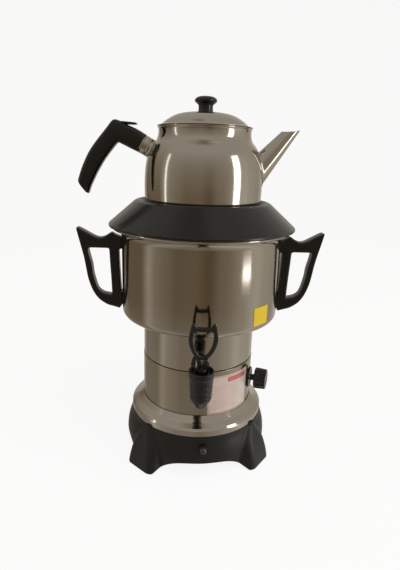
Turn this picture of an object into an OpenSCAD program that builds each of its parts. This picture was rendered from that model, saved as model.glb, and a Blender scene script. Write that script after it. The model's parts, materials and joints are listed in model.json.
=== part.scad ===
// Electric samovar with its teapot on top.
// Millimetres. The origin is the centre of the floor plane under the feet, +Z is up and the tap faces -Y.
// An azimuth is counted from the tap, -Y, towards +X, so the thermostat is at the front right.

/* [Base] */
// Height of the base moulding, up to the lower edge of the steel ring
base_h = 60; // [56:1:70]
// Radius of the base at its widest
base_r = 105; // [102:0.5:107]
// Wall of the base moulding
base_wall = 3; // [2.4:0.2:3.6]
// Height of the arches between the legs
arch_h = 24; // [22:1:28]
// Azimuth of the front legs; the rear legs mirror them
leg_az = 48; // [46:1:50]
// Width of a leg
leg_w = 52; // [48:1:56]
// How far the toes reach from the axis
leg_reach = 118.5; // [114:0.5:122]
// How far the base sits turned under the tank, in degrees
base_turn = 3.8; // [0:0.2:5]
// How far the rubber feet stand out under the legs
foot_proud = 1.5; // [1:0.25:3]
// Radius of a rubber foot
foot_r = 9; // [7:0.5:10]
// Radius of the indicator's lens
lens_r = 5.5; // [4.5:0.5:6.5]
// Radius of the cord's entry in the gland
cord_r = 3.5; // [3:0.25:4]

/* [Ring and housing] */
// Outside radius of the polished ring's skirt
ring_r = 97; // [95:0.5:99]
// Height of the polished ring
ring_h = 22.5; // [18:0.5:28]
// Height of the ring's upright skirt
skirt_h = 8; // [6:0.5:10]
// Height of the heater housing above the ring
housing_h = 64; // [60:1:80]
// Thickness of the gasket under the tank
gasket_t = 1; // [0.6:0.2:2]

/* [Tank] */
// Outside radius of the tank's wall
tank_r = 110; // [107:0.5:114]
// Outside radius of the tank's neck
neck_r = 79.5; // [78:0.5:81]
// Height of the neck
neck_h = 49; // [44:0.5:54]
// Height of the rounded shoulder
shoulder_h = 19.5; // [17:0.5:28]
// Height of the straight wall
wall_h = 101; // [94:1:130]
// How far the rim stands out beyond the wall
flare_w = 12; // [10:0.5:14]
// Height of the flared rim
flare_h = 14; // [10:0.5:16]
// Radius of the rolled bead on the rim
bead_r = 2; // [1.5:0.25:2.5]
// Thickness of the steel sheet
sheet = 0.8; // [0.6:0.1:1.2]

/* [Tap] */
// From the neck's wall to the axis of the tap's barrel
tap_out = 42.5; // [40:0.5:48]
// Height of the tap's shank over the tank's bottom
tap_up = 13; // [12.5:0.5:18]
// Radius of the barrel at its rim
barrel_r = 16.2; // [15.4:0.1:17]
// Radius of the outlet's bore
outlet_r = 3.5; // [2.5:0.25:4]
// Radius of the valve stem
stem_r = 1.5; // [1.25:0.25:1.75]
// From the lever's pivot to the valve stem
cam_arm = 5; // [4.5:0.25:5.5]
// Radius of the lever's pin
pin_r = 1.25; // [1:0.05:1.5]
// Height of the lever's loop above its pivot
lever_h = 55.5; // [48:0.5:60]
// Width of the lever's loop
lever_w = 34; // [30:1:38]
// Angle at which the lever leans forward at rest
lever_lean = 17; // [12:1:22]

/* [Thermostat] */
// Azimuth of the thermostat
stat_az = 70.5; // [68:0.5:76]
// Height of the thermostat over the ring
stat_up = 32; // [24:0.5:36]
// Radius of the thermostat's bezel and knob
knob_r = 15; // [12:0.5:16]
// Thickness of the thermostat's bezel
bezel_t = 2; // [1.5:0.25:3.5]
// Length of the knob's grip
knob_l = 17; // [12:0.5:20]
// Gap between the bezel and the grip
knob_gap = 6.5; // [5:0.5:12]
// Radius of the thermostat's spindle
spindle_r = 3; // [2.5:0.25:3.25]

/* [Side handles] */
// Thickness of a side handle
handle_t = 16; // [12:1:20]
// Reach of a side handle beyond the tank's wall
handle_out = 62; // [60:1:70]

/* [Cover] */
// Outside radius of the cover
cover_r = 127; // [125:0.5:130]
// Height of the cover
cover_h = 34.5; // [32:0.5:38]
// Radius of the teapot's well
well_r = 82; // [81:0.5:84]
// Depth of the teapot's well
well_d = 10.5; // [8:0.5:12]
// Radius of the steam hole
steam_r = 56; // [50:1:58]
// Wall of the cover
cover_wall = 2.5; // [2:0.25:3]

/* [Teapot] */
// Largest radius of the teapot
tea_r = 78.3; // [77:0.1:79.5]
// Height of the teapot's body
tea_h = 103.7; // [98:0.5:112]
// Radius of the teapot's mouth
mouth_r = 61; // [57:0.5:62]
// Height of the lid's dome over the mouth
lid_h = 18.5; // [15:0.5:24]
// Radius of the lid's knob
lid_knob_r = 14.7; // [12:0.1:17]
// Angle of the spout above the horizontal
spout_tilt = 50.5; // [47:0.5:53]
// Radius of the spout at its root
spout_r = 16.3; // [14:0.1:17]
// Angle of the handle's ferrule above the horizontal
ferrule_tilt = 27.8; // [25:0.2:30]
// Radius of the handle's ferrule
ferrule_r = 12.2; // [11:0.2:13]
// Width of the teapot's handle
grip_w = 21; // [18:1:24]

/* [Fits] */
// Gap under a part that rests on another and lifts off
rest_gap = 0.3; // [0.2:0.05:0.4]
// Clearance round a fixed part in its hole
hole_gap = 0.2; // [0.1:0.05:0.3]
// Radial running clearance of a pin or spindle
run_gap = 0.06; // [0.03:0.01:0.1]

/* [Hidden] */
$fn = 96;

// Heights of the stack, from the floor up
z_ring = base_h + ring_h;
z_seam = z_ring + housing_h;
z_tank = z_seam + gasket_t;
z_shoulder = z_tank + neck_h;
z_wall = z_shoulder + shoulder_h;
z_flare = z_wall + wall_h;
z_rim = z_flare + flare_h;
z_cover = z_rim + rest_gap;
z_top = z_cover + cover_h;
z_well = z_top - well_d;
z_tea = z_well + rest_gap;
z_mouth = z_tea + tea_h;

// Radii that seat on each other
housing_r = neck_r + 0.5;
rim_r = tank_r + flare_w;
spigot_r = ring_r - sheet - hole_gap;

// The floor and the deck of the base
spigot_h = 4;
deck_t = 3;
z_deck = base_h + spigot_h - deck_t;
z_plate = arch_h - 1;
plate_t = 2.5;
plate_r = 84;
leg_in = 86;
leg_top = base_h - 3;

// Azimuths and radii inside the housing
rod_az = [15, 135, 255];
rod_c = 60;
rod_r = 2.5;
boss_az = [20, 110, 200, 290];
boss_c = 70;
element_c = 45;
element_r = 4;
element_z = z_tank + 28;
end_az = [160, 200];

// --- curves -------------------------------------------------------------------------------------------

// Point on a parabola from a to c that leaves a and reaches c towards b
function bend(a, b, c, t) = a * (1 - t) * (1 - t) + b * 2 * t * (1 - t) + c * t * t;

// Smooth open curve drawn along control points, from the first to the last
function spline(p, n = 6) = [
    for (i = [1 : len(p) - 2], k = [(i == 1 ? 0 : 1) : n])
        bend(i == 1 ? p[0] : (p[i - 1] + p[i]) / 2, p[i], i == len(p) - 2 ? p[i + 1] : (p[i] + p[i + 1]) / 2, k / n)
];

// Smooth closed curve drawn along control points; a corner given twice stays sharp
function ring_spline(p, n = 4) = [
    for (i = [0 : len(p) - 1], k = [0 : n - 1])
        let (before = p[(i + len(p) - 1) % len(p)], after = p[(i + 1) % len(p)])
        bend((before + p[i]) / 2, p[i], (p[i] + after) / 2, k / n)
];

// Arc of n steps about (x, y)
function arc(x, y, r, from, to, n = 8) = [
    for (k = [0 : n]) let (a = from + (to - from) * k / n) [x + r * cos(a), y + r * sin(a)]
];

// The line without its repeated points
function distinct(line) = [
    for (i = [0 : len(line) - 1]) if (i == 0 || norm(line[i] - line[max(i - 1, 0)]) > 0.02) line[i]
];

// The line moved sideways by t, to its left as it is walked
function step_left(a, b) = [a[1] - b[1], b[0] - a[0]] / norm(b - a);
function beside(line, t) = [
    for (i = [0 : len(line) - 1])
        let (s = step_left(line[max(i - 1, 0)], line[max(i, 1)])
                + step_left(line[min(i, len(line) - 2)], line[min(i + 1, len(line) - 1)]))
        line[i] + s * (2 * t / (s * s))
];
function backwards(line) = [for (i = [len(line) - 1 : -1 : 0]) line[i]];
function mirrored(line) = concat(line, [for (i = [len(line) - 1 : -1 : 0]) [-line[i][0], line[i][1]]]);

// --- building blocks ----------------------------------------------------------------------------------

// Turns what is modelled towards -Y to an azimuth
module at_az(az) rotate([0, 0, az]) children();

// Ring between two radii
module tube(r_out, r_in, h) difference() {
    cylinder(r = r_out, h = h);
    translate([0, 0, -1]) cylinder(r = r_in, h = h + 2);
}

// Cylinder along -Y, from one distance to another
module spoke(r, from, to) translate([0, -from, 0]) rotate([90, 0, 0]) cylinder(r = r, h = to - from);

// Cylinder along X, centred
module crossbar(r, l) rotate([0, 90, 0]) cylinder(r = r, h = l, center = true);

// Sheet of thickness t turned about Z, its outer face along the line
module spun(line, t) rotate_extrude()
    polygon(concat(distinct(line), [for (q = backwards(beside(distinct(line), t))) [max(q[0], 0), q[1]]]));

// Curved sheet on a cylinder: radii, heights, first azimuth and width in degrees
module patch(r, t, z, h, az, wide) rotate([0, 0, az - 90]) rotate_extrude(angle = wide)
    translate([r, z]) square([t, h]);

// Pan-head screw along -Y with its head at the start
module pan_screw(r, head_r, head_t, from, l) {
    spoke(head_r, from - head_t, from);
    spoke(r, from, from + l);
}

// Hexagon nut standing on z = 0
module nut(across, bore_r, h) difference() {
    cylinder(r = across / 2 / cos(30), h = h, $fn = 6);
    translate([0, 0, -1]) cylinder(r = bore_r, h = h + 2);
}

// --- base ---------------------------------------------------------------------------------------------

// Outer line of the bell, from its lower edge up to the ring
bell = spline([[base_r - 0.4, z_plate], [base_r, arch_h + 3], [base_r - 0.6, arch_h + 12],
    [ring_r + 2.4, base_h - 10], [ring_r + 0.3, base_h]]);

module each_leg() for (side = [-1, 1], az = [leg_az, 180 - leg_az]) at_az(side * az + base_turn) children();

// Block of one leg: a rounded toe on the floor that narrows up into the bell
module leg_block() {
    corner = 11;
    top_w = leg_w - 16;
    hull() {
        for (x = [-1, 1] * (leg_w / 2 - corner), y = [leg_in + corner, leg_reach - corner])
            translate([x, -y, foot_proud]) cylinder(r = corner, h = 6, $fn = 32);
        for (x = [-1, 1] * (leg_w / 2 - corner - 1), y = [leg_in + corner, leg_reach - corner - 5])
            translate([x, -y, base_h / 2]) cylinder(r = corner, h = 1, $fn = 32);
        for (x = [-1, 1] * (top_w / 2 - corner), y = [leg_in + corner, ring_r - corner])
            translate([x, -y, leg_top - 1]) cylinder(r = corner, h = 1, $fn = 32);
    }
}

// Opening between two legs as it is seen from outside, a flat-topped arch
module arch_cut(half) rotate([90, 0, 0]) linear_extrude(leg_reach + 10)
    polygon([for (k = [-12 : 12]) let (u = k / 12)
        [half * u, foot_proud - 8 + (arch_h - foot_proud + 8) * (1 - pow(abs(u), 4))]]);

function arch_half(gap) = base_r * sin(gap) - leg_w / 2 * cos(gap) + 6;

module base_moulding() color([0.17, 0.17, 0.17]) difference() {
    inner = beside(bell, base_wall);
    union() {
        difference() {
            union() {
                difference() {
                    // bell down to the floor, opened by the arches
                    rotate_extrude() polygon(concat([[plate_r, foot_proud], [base_r - 0.4, foot_proud]], bell,
                        [[spigot_r, base_h], [spigot_r, base_h + spigot_h], [0, base_h + spigot_h], [0, z_plate],
                            [plate_r, z_plate]]));
                    for (turn = [0, 180]) at_az(turn + base_turn) arch_cut(arch_half(leg_az));
                    for (turn = [90, 270]) at_az(turn + base_turn) arch_cut(arch_half(90 - leg_az));
                }
                each_leg() leg_block();
            }
            // inside, between the floor flange and the deck
            rotate_extrude() polygon(concat([[0, z_plate + plate_t], [inner[0][0] - 1, z_plate + plate_t]],
                [for (q = inner) if (q[1] > z_plate + plate_t + 1 && q[1] < z_deck - 4) q],
                [[spigot_r - base_wall, z_deck - 3], [spigot_r - base_wall, z_deck], [0, z_deck]]));
        }
        // flat boss for the cord gland and bosses for the bottom plate
        translate([0, 0, z_lamp]) at_az(cord_az) spoke(gland_r + 3, lamp_out - 9, lamp_out + 0.2);
        for (az = boss_az) at_az(az) translate([0, -boss_c, z_plate + plate_t])
            cylinder(r = 5, h = z_deck - z_plate - plate_t + 1);
    }
    for (az = boss_az) at_az(az) translate([0, -boss_c, z_plate]) cylinder(r = 2, h = 16);
    // mouth for the bottom plate
    translate([0, 0, z_plate - 1]) cylinder(r = plate_r + hole_gap, h = plate_t + 2);
    // hollows of the legs
    each_leg() translate([-leg_w / 2 + 6, -leg_reach + 13, foot_proud + 7])
        cube([leg_w - 12, leg_reach - leg_in - 17, z_plate]);
    // seats of the rubber feet
    each_leg() translate([0, -foot_c, 0]) cylinder(r = foot_r - 2, h = foot_proud + foot_peg);
    // cable opening and rod holes in the deck
    translate([0, 0, z_deck - 1]) cylinder(r = 36, h = deck_t + 2);
    for (az = rod_az) at_az(az) translate([0, -rod_c, z_deck - 1]) cylinder(r = rod_r + hole_gap, h = deck_t + 2);
    // indicator and cord entry
    translate([0, 0, z_lamp]) at_az(base_turn) spoke(lens_r + 1.5 + hole_gap, lamp_out - 14, lamp_out + 5);
    translate([0, 0, z_lamp]) at_az(cord_az) {
        spoke(gland_r + hole_gap, lamp_out - 20, lamp_out + 5);
        // spot faces for the gland's flange and its nut
        spoke(gland_r + 3.5, lamp_out + 0.2, lamp_out + 20);
        spoke(nut_across / 2 / cos(30) + 0.6, lamp_out - 24, lamp_out - 9);
    }
}
cord_az = 180 + base_turn;
foot_c = (leg_in + leg_reach) / 2;
foot_peg = 4;
z_lamp = arch_h + 20;
lamp_out = base_r - 1.5;
gland_r = cord_r + 3.5;
nut_across = gland_r * 2 + 5;

module foot_pads() color([0.1, 0.1, 0.1]) each_leg() translate([0, -foot_c, 0]) {
    cylinder(r = foot_r, h = foot_proud);
    cylinder(r = foot_r - 2 - hole_gap, h = foot_proud + foot_peg - hole_gap);
}

module bottom_plate() color([0.55, 0.55, 0.56]) difference() {
    translate([0, 0, z_plate]) cylinder(r = plate_r, h = plate_t);
    for (az = boss_az) at_az(az) translate([0, -boss_c, z_plate - 1]) cylinder(r = 2 + hole_gap, h = plate_t + 2);
    for (x = [-40 : 10 : 40]) translate([x, 0, z_plate - 1]) cylinder(r = 2, h = plate_t + 2);
}

module bottom_screws() color([0.7, 0.7, 0.7]) for (az = boss_az) at_az(az) translate([0, -boss_c, 0]) {
    translate([0, 0, z_plate - 2]) cylinder(r = 4, h = 2);
    translate([0, 0, z_plate]) cylinder(r = 2, h = 14);
}

module indicator_bezel() color([0.08, 0.08, 0.08]) at_az(base_turn) translate([0, 0, z_lamp]) difference() {
    spoke(lens_r + 1.5, lamp_out - 13, lamp_out + 1);
    spoke(lens_r, lamp_out - 14, lamp_out + 3);
}

module indicator_lens() color([0.14, 0.12, 0.11]) at_az(base_turn) translate([0, -lamp_out + 0.4, z_lamp])
    rotate([90, 0, 0]) rotate_extrude() polygon(concat([[0, -14], [lens_r - 0.1, -14], [lens_r - 0.1, 1.6]],
        arc(0, 1.6, lens_r - 0.1, 0, 90, 8)));

module cord_gland() color([0.1, 0.1, 0.1]) at_az(cord_az) translate([0, 0, z_lamp]) difference() {
    union() {
        spoke(gland_r, lamp_out - 14, lamp_out + 1);
        spoke(gland_r + 3, lamp_out + 0.2, lamp_out + 5);
    }
    spoke(cord_r, lamp_out - 17, lamp_out + 6);
}

module gland_nut() color([0.1, 0.1, 0.1]) at_az(cord_az) translate([0, -lamp_out + 13, z_lamp])
    rotate([90, 0, 0]) nut(nut_across, gland_r, 4);

module terminal_block() color([0.86, 0.85, 0.8]) translate([0, 40, z_deck - 14]) difference() {
    translate([-18, -8, 0]) cube([36, 16, 14]);
    for (x = [-12 : 12 : 12]) translate([x, 0, 0]) rotate([90, 0, 0]) cylinder(r = 2, h = 30, center = true);
}

// --- ring, housing and heater parts -------------------------------------------------------------------

module base_ring() color([0.78, 0.77, 0.74]) {
    lip = 2;
    spun(concat([[ring_r, base_h]], arc(ring_r - lip, base_h + skirt_h, lip, 0, 70, 4),
        [[ring_r - lip - 0.6, base_h + skirt_h + 2.6], [housing_r + hole_gap + sheet, z_ring - 1],
            [housing_r + hole_gap + sheet, z_ring]]), sheet);
}

module heater_housing() color([0.74, 0.73, 0.7]) difference() {
    translate([0, 0, base_h + spigot_h]) tube(housing_r, housing_r - sheet, z_seam - base_h - spigot_h);
    at_az(stat_az) translate([0, 0, z_stat]) spoke(bush_r + hole_gap, housing_r - 10, housing_r + 10);
}
z_stat = z_ring + stat_up;
bush_r = spindle_r + 2;

// Plain label on the housing, between the tap and the thermostat
module rating_label() color([0.86, 0.8, 0.76]) difference() {
    patch(housing_r + 0.08, 0.2, z_ring, housing_h - 7, 8.5, 49.5);
    at_az(stat_az) translate([0, 0, z_stat]) spoke(knob_r + 0.3, housing_r - 10, housing_r + 10);
}

module seam_gasket() color([0.1, 0.09, 0.08]) translate([0, 0, z_seam])
    tube(neck_r - hole_gap, neck_r - 4, gasket_t);

module tie_rods() color([0.7, 0.7, 0.7]) for (az = rod_az) at_az(az)
    translate([0, -rod_c, z_deck - 8]) cylinder(r = rod_r, h = z_tank - z_deck + 8);

module tie_nuts() color([0.7, 0.7, 0.7]) for (az = rod_az) at_az(az)
    translate([0, -rod_c, z_deck - 5]) nut(8, rod_r, 5);

module thermostat_body() color([0.82, 0.8, 0.74]) at_az(stat_az) translate([0, 0, z_stat]) difference() {
    union() {
        translate([-16, -housing_r + 8, -16]) cube([32, 26, 32]);
        spoke(bush_r, housing_r - 9, housing_r + bezel_t - 0.4);
    }
    spoke(spindle_r + run_gap, housing_r - 20, housing_r + 4);
}

module thermostat_nut() color([0.75, 0.66, 0.35]) at_az(stat_az) translate([0, 0, z_stat]) difference() {
    translate([0, -housing_r + sheet + 2.9, 0]) rotate([90, 0, 0]) nut(14, bush_r, 2.4);
}

module thermostat_bezel() color([0.07, 0.07, 0.07]) at_az(stat_az) difference() {
    translate([0, 0, z_stat]) spoke(knob_r, housing_r - 4, housing_r + bezel_t);
    translate([0, 0, z_stat]) spoke(bush_r + hole_gap, housing_r - 5, housing_r + 5);
    cylinder(r = housing_r, h = z_seam, $fn = 360);
}

module thermostat_spindle() color([0.72, 0.72, 0.72]) at_az(stat_az) translate([0, 0, z_stat])
    spoke(spindle_r, housing_r - 19, housing_r + bezel_t + knob_gap + knob_l - 4);

module thermostat_knob() color([0.06, 0.06, 0.06]) at_az(stat_az) translate([0, 0, z_stat]) {
    hub = housing_r + bezel_t + rest_gap;
    grip = housing_r + bezel_t + knob_gap;
    difference() {
        union() {
            spoke(spindle_r + 1.5, hub, grip + 1);
            translate([0, -grip, 0]) rotate([90, 0, 0]) cylinder(r1 = knob_r, r2 = knob_r - 1, h = knob_l);
        }
        spoke(spindle_r, hub - 1, grip + knob_l - 4);
        for (k = [0 : 17]) rotate([0, k * 20, 0]) translate([0, 0, knob_r + 0.9])
            spoke(2, grip + 2, grip + knob_l + 1);
        translate([-0.8, -grip - knob_l - 0.1, 2]) cube([1.6, 0.9, knob_r - 5]);
    }
}

module thermostat_bulb() color([0.72, 0.45, 0.3]) {
    bulb_z = z_tank - 4;
    reach = housing_r - 34 - 14;
    at_az(stat_az) {
        translate([0, -housing_r + 26, z_stat + 16]) cylinder(r = 1, h = bulb_z - z_stat - 16);
        translate([0, -housing_r + 26, bulb_z]) sphere(r = 1);
        translate([0, 0, bulb_z]) spoke(1, reach, housing_r - 26);
        translate([0, 0, bulb_z]) spoke(3, -20, reach);
    }
}

module bulb_clip() color([0.7, 0.7, 0.7]) at_az(stat_az) for (y = [-12, 20])
    translate([0, -y, z_tank - 8]) difference() {
    translate([-5, -3, 0]) cube([10, 6, 8]);
    translate([0, 0, 4]) rotate([90, 0, 0]) cylinder(r = 3, h = 20, center = true);
}

module overheat_cutout() color([0.2, 0.2, 0.22]) at_az(300) translate([0, -42, 0]) {
    translate([0, 0, z_tank - 3]) cylinder(r = 12, h = 3);
    translate([0, 0, z_tank - 12]) cylinder(r = 8, h = 9);
    for (x = [-4, 4]) translate([x - 0.4, -3, z_tank - 20]) cube([0.8, 6, 8]);
}

// Lead of round wire through a list of points
module lead(points, r) for (i = [0 : len(points) - 2]) {
    step = points[i + 1] - points[i];
    translate(points[i]) rotate([0, acos(step[2] / norm(step)), atan2(step[1], step[0])]) {
        cylinder(r = r, h = norm(step), $fn = 24);
        sphere(r = r + 0.15, $fn = 24);
    }
}

module wiring() color([0.5, 0.12, 0.1]) {
    for (side = [-1, 1]) lead([[side * 12, 30.8, z_deck - 7], [side * 14, 27, z_deck + 26],
        [side * element_c * sin(20), element_c * cos(20), z_tank - 12]], 1);
}

// --- tank ---------------------------------------------------------------------------------------------

// Outer line of the tank, from the bottom of the neck to the rim
tank_line = concat([[neck_r, z_tank], [neck_r, z_shoulder]],
    spline([[neck_r, z_shoulder], [neck_r + 1.5, z_shoulder + 3], [(neck_r + tank_r) / 2 + 5, z_shoulder + 8],
        [tank_r, z_shoulder + 13.5], [tank_r, z_wall]], 5),
    spline([[tank_r, z_flare], [tank_r + 0.6, z_flare + 6], [rim_r - bead_r, z_rim - bead_r]], 5));

module tank_shell() color([0.76, 0.74, 0.7]) difference() {
    union() {
        spun(tank_line, sheet);
        rotate_extrude() translate([rim_r - bead_r, z_rim - bead_r]) circle(r = bead_r, $fn = 24);
    }
    translate([0, 0, z_tap]) spoke(shank_r + hole_gap, neck_r - 12, neck_r + 8);
    each_handle_screw() spoke(screw_r + hole_gap, tank_r - 8, tank_r + 8);
}
z_tap = z_tank + tap_up;
shank_r = 6;
screw_r = 1.75;

module tank_bottom() color([0.72, 0.7, 0.67]) difference() {
    corner = 3;
    spun(concat([[0, z_tank]], arc(neck_r - sheet - corner, z_tank + corner, corner, -90, 0, 4),
        [[neck_r - sheet, z_tank + corner + 0.8]]), sheet);
    for (az = end_az) at_az(az) translate([0, -element_c, z_tank - 1]) cylinder(r = thread_r + hole_gap, h = sheet + 2);
}
thread_r = element_r + 2;

// Sheathed heater: an open ring low in the neck with two upright ends
module heating_element() color([0.5, 0.48, 0.45]) {
    translate([0, 0, element_z]) rotate([0, 0, end_az[1] - 90]) rotate_extrude(angle = 360 - end_az[1] + end_az[0])
        translate([element_c, 0]) circle(r = element_r, $fn = 24);
    for (az = end_az) at_az(az) translate([0, -element_c, 0]) {
        translate([0, 0, element_z]) sphere(r = element_r + 0.6);
        translate([0, 0, z_tank - 9]) cylinder(r = element_r, h = element_z - z_tank + 9);
        translate([0, 0, z_tank - 8]) cylinder(r = thread_r, h = 8 + sheet + 2);
        translate([0, 0, z_tank + sheet + 2]) cylinder(r = thread_r + 3, h = 3);
        translate([0, 0, z_tank - 12]) cylinder(r = 1.5, h = 4);
    }
}

module element_nuts() color([0.78, 0.68, 0.38]) for (az = end_az) at_az(az)
    translate([0, -element_c, z_tank - 5]) nut(18, thread_r, 5);

module element_seals() color([0.15, 0.15, 0.15]) for (az = end_az) at_az(az)
    translate([0, -element_c, z_tank + sheet]) tube(thread_r + 3, thread_r, 2);

module caution_label() color([0.95, 0.8, 0.1]) patch(tank_r + 0.08, 0.2, z_wall + 0.3, 24.5, 36.5, 15);

// Side handles: outline in the upright plane through the axis, x measured out from the tank's wall
handle_lo = z_wall - 2;
handle_hi = z_flare;
handle_outline = ring_spline([[-1.5, handle_lo + 3], [-1.5, handle_lo + 3], [4.5, handle_lo - 3.5],
    [4.5, handle_lo - 3.5], [20, handle_lo + 0.5], [33, handle_lo + 9], [42, handle_lo + 22], [48.5, handle_lo + 42],
    [handle_out - 10, handle_hi - 34], [handle_out - 6, handle_hi - 18], [handle_out - 1, handle_hi + 3],
    [handle_out, handle_hi + 8.5], [handle_out - 3, handle_hi + 8], [handle_out - 16, handle_hi + 1],
    [36, handle_hi - 4.5], [28, handle_hi - 5.5], [20, handle_hi - 1.5], [14.5, handle_hi + 3],
    [10, handle_hi - 0.5], [-1.5, handle_hi - 4], [-1.5, handle_hi - 4], [-1.5, handle_hi - 19.5],
    [-1.5, handle_hi - 19.5], [4.5, handle_hi - 19.5], [4.5, handle_hi - 19.5], [4.3, handle_hi - 37],
    [3.5, handle_lo + 46], [2.5, handle_lo + 26], [2.2, handle_lo + 21], [2.2, handle_lo + 21],
    [-1.5, handle_lo + 21], [-1.5, handle_lo + 21]]);
handle_hole = ring_spline([[19, handle_hi - 19.5], [34, handle_hi - 19.5], [43.5, handle_hi - 19.5],
    [46.8, handle_hi - 22.5], [45.2, handle_hi - 32], [42, handle_hi - 45], [41, handle_hi - 55], [38.5, handle_lo + 36],
    [36.5, handle_lo + 28], [33, handle_lo + 22], [27, handle_lo + 18], [18, handle_lo + 16.5],
    [15, handle_lo + 18], [15.2, handle_lo + 26], [15.8, handle_lo + 46], [17, handle_hi - 37],
    [17.3, handle_hi - 22]]);
screw_z = [handle_lo + 9.5, handle_hi - 12];
screw_l = 12;

module side_handle() color([0.06, 0.06, 0.06]) difference() {
    rotate([90, 0, 0]) translate([0, 0, -handle_t / 2]) linear_extrude(handle_t) difference() {
        polygon([for (q = handle_outline) q + [tank_r, 0]]);
        polygon([for (q = handle_hole) q + [tank_r, 0]]);
    }
    translate([0, 0, z_shoulder]) cylinder(r = tank_r, h = z_rim - z_shoulder);
    for (z = screw_z) translate([0, 0, z]) at_az(90) spoke(screw_r, tank_r - 1, tank_r + screw_l + 1);
}
module left_handle() mirror([1, 0, 0]) side_handle();
module right_handle() side_handle();

module each_handle_screw() for (az = [-90, 90], z = screw_z) translate([0, 0, z]) at_az(az) children();
module handle_screws() color([0.7, 0.7, 0.7]) each_handle_screw()
    pan_screw(screw_r, 3.9, 2.5, tank_r - sheet - 1.7, screw_l + 2);
module handle_seals() color([0.15, 0.15, 0.15]) each_handle_screw() difference() {
    spoke(6, tank_r - sheet - 1.7, tank_r - sheet - 0.17);
    spoke(screw_r, tank_r - 5, tank_r + 1);
}

// --- cover --------------------------------------------------------------------------------------------

crown_r = well_r + 9.5;
cone_rise = (cover_h - 7.8) / (cover_r - crown_r - 5);
cover_line = concat([[cover_r, z_cover], [cover_r, z_cover + 2]],
    spline([[cover_r, z_cover + 2], [cover_r - 0.5, z_cover + 3.5], [cover_r - 3, z_cover + 5.5]], 3),
    [[crown_r + 2, z_top - 1.5 - 0.8]],
    spline([[crown_r + 2, z_top - 2.3], [crown_r - 1, z_top], [crown_r - 4, z_top]], 4),
    spline([[well_r + 4, z_top], [well_r + 0.8, z_top], [well_r + 0.5, z_top - 3]], 4),
    [[well_r, z_well], [steam_r, z_well]]);

module cover_shell() color([0.05, 0.05, 0.05]) {
    skirt = tank_r - sheet - 1.2;
    spun(cover_line, cover_wall);
    translate([0, 0, z_cover]) tube(cover_r - 1, rim_r - 7, 2.4);
    translate([0, 0, z_flare - 6]) tube(skirt, skirt - 2, z_cover + 5.5 + (cover_r - 3 - skirt) * cone_rise - z_flare + 4);
}

// --- teapot -------------------------------------------------------------------------------------------

tea_line = concat([[0, z_tea]], spline([[tea_r - 18, z_tea], [tea_r - 0.6, z_tea], [tea_r + 0.3, z_tea + 14],
    [tea_r + 0.6, z_tea + 36], [tea_r - 1.3, z_tea + 60], [mouth_r + 10, z_mouth - 25.5],
    [mouth_r - 1.5, z_mouth - 13.5], [mouth_r, z_mouth]]));
tea_sheet = 1;

// Everything inside the teapot's outer face
module tea_solid() rotate_extrude() polygon(concat(tea_line, [[0, z_mouth]]));

// Spout frame: its origin is where the spout's axis meets the body, and its +Z runs up the spout
spout_at = [tea_r - 3.9, 0, z_tea + 54.5];
module in_spout() translate(spout_at) rotate([0, 90 - spout_tilt, 0]) children();
// Ferrule frame: the same for the handle
ferrule_at = [-tea_r + 11, 0, z_tea + 73.5];
module in_ferrule() translate(ferrule_at) rotate([0, ferrule_tilt - 90, 0]) children();

module teapot_body() color([0.78, 0.76, 0.72]) difference() {
    union() {
        spun(tea_line, tea_sheet);
        translate([0, 0, z_mouth - 1.2]) tube(mouth_r + 0.8, mouth_r - tea_sheet, 1.2);
    }
    in_spout() for (x = [-6 : 4 : 6], y = [-6 : 4 : 6]) translate([x, y, -20]) cylinder(r = 1.4, h = 40);
    in_ferrule() translate([0, 0, -8]) cylinder(r = bolt_r + hole_gap, h = 20);
}
bolt_r = 2.5;

spout_l = 68;
spout_tip_r = 8.1;
z_lip = z_mouth - 0.8;
module teapot_spout() color([0.8, 0.78, 0.74]) difference() {
    in_spout() {
        root = 12;
        slope = (spout_r - spout_tip_r) / spout_l;
        difference() {
            translate([0, 0, -root]) cylinder(r1 = spout_r + slope * root, r2 = spout_tip_r, h = spout_l + root);
            translate([0, 0, -root - 1]) cylinder(r1 = spout_r + slope * root - 1, r2 = spout_tip_r - 1,
                h = spout_l + root + 2);
        }
    }
    tea_solid();
    translate([tea_r, -40, z_lip]) cube([80, 80, 60]);
}

ferrule_l = 17;
module teapot_ferrule() color([0.78, 0.76, 0.72]) difference() {
    in_ferrule() translate([0, 0, -10]) tube(ferrule_r, ferrule_r - 1, ferrule_l + 10);
    tea_solid();
}

// Handle: outline in the XZ plane, from the ferrule's end out, up and down to the tip of the grip
grip_at = [ferrule_at[0] - ferrule_l * cos(ferrule_tilt), ferrule_at[2] + ferrule_l * sin(ferrule_tilt)];
grip_outline = ring_spline([[6, 11.2], [6, 11.2], [-7, 18.4], [-16, 21.4], [-19.5, 22.4], [-16, 23], [-9, 22.2],
    [-5.6, 23.4], [-7.2, 25.3], [-14, 25.6], [-25, 27.3], [-37, 28.6], [-38.5, 28], [-54, 8],
    [-71, -12], [-80, -32], [-85.5, -53], [-71.5, -68], [-71.5, -68], [-68, -53], [-52, -25], [-31, -0.5],
    [-31, -0.5], [-6, -11.4], [-6, -11.4]]);

module teapot_handle() color([0.05, 0.05, 0.05]) difference() {
    translate([grip_at[0], 0, grip_at[1]]) rotate([90, 0, 0]) translate([0, 0, -grip_w / 2])
        linear_extrude(grip_w) polygon(grip_outline);
    // square end against the ferrule, and the bolt's hole
    in_ferrule() translate([-40, -40, ferrule_l - 60]) cube([80, 80, 60]);
    in_ferrule() translate([0, 0, ferrule_l - 1]) cylinder(r = bolt_r, h = 23);
}

module teapot_handle_bolt() color([0.7, 0.7, 0.7]) in_ferrule() {
    translate([0, 0, -5.6]) cylinder(r = bolt_r, h = ferrule_l + 26);
    translate([0, 0, -9]) cylinder(r = 4.5, h = 3.4);
}

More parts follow.
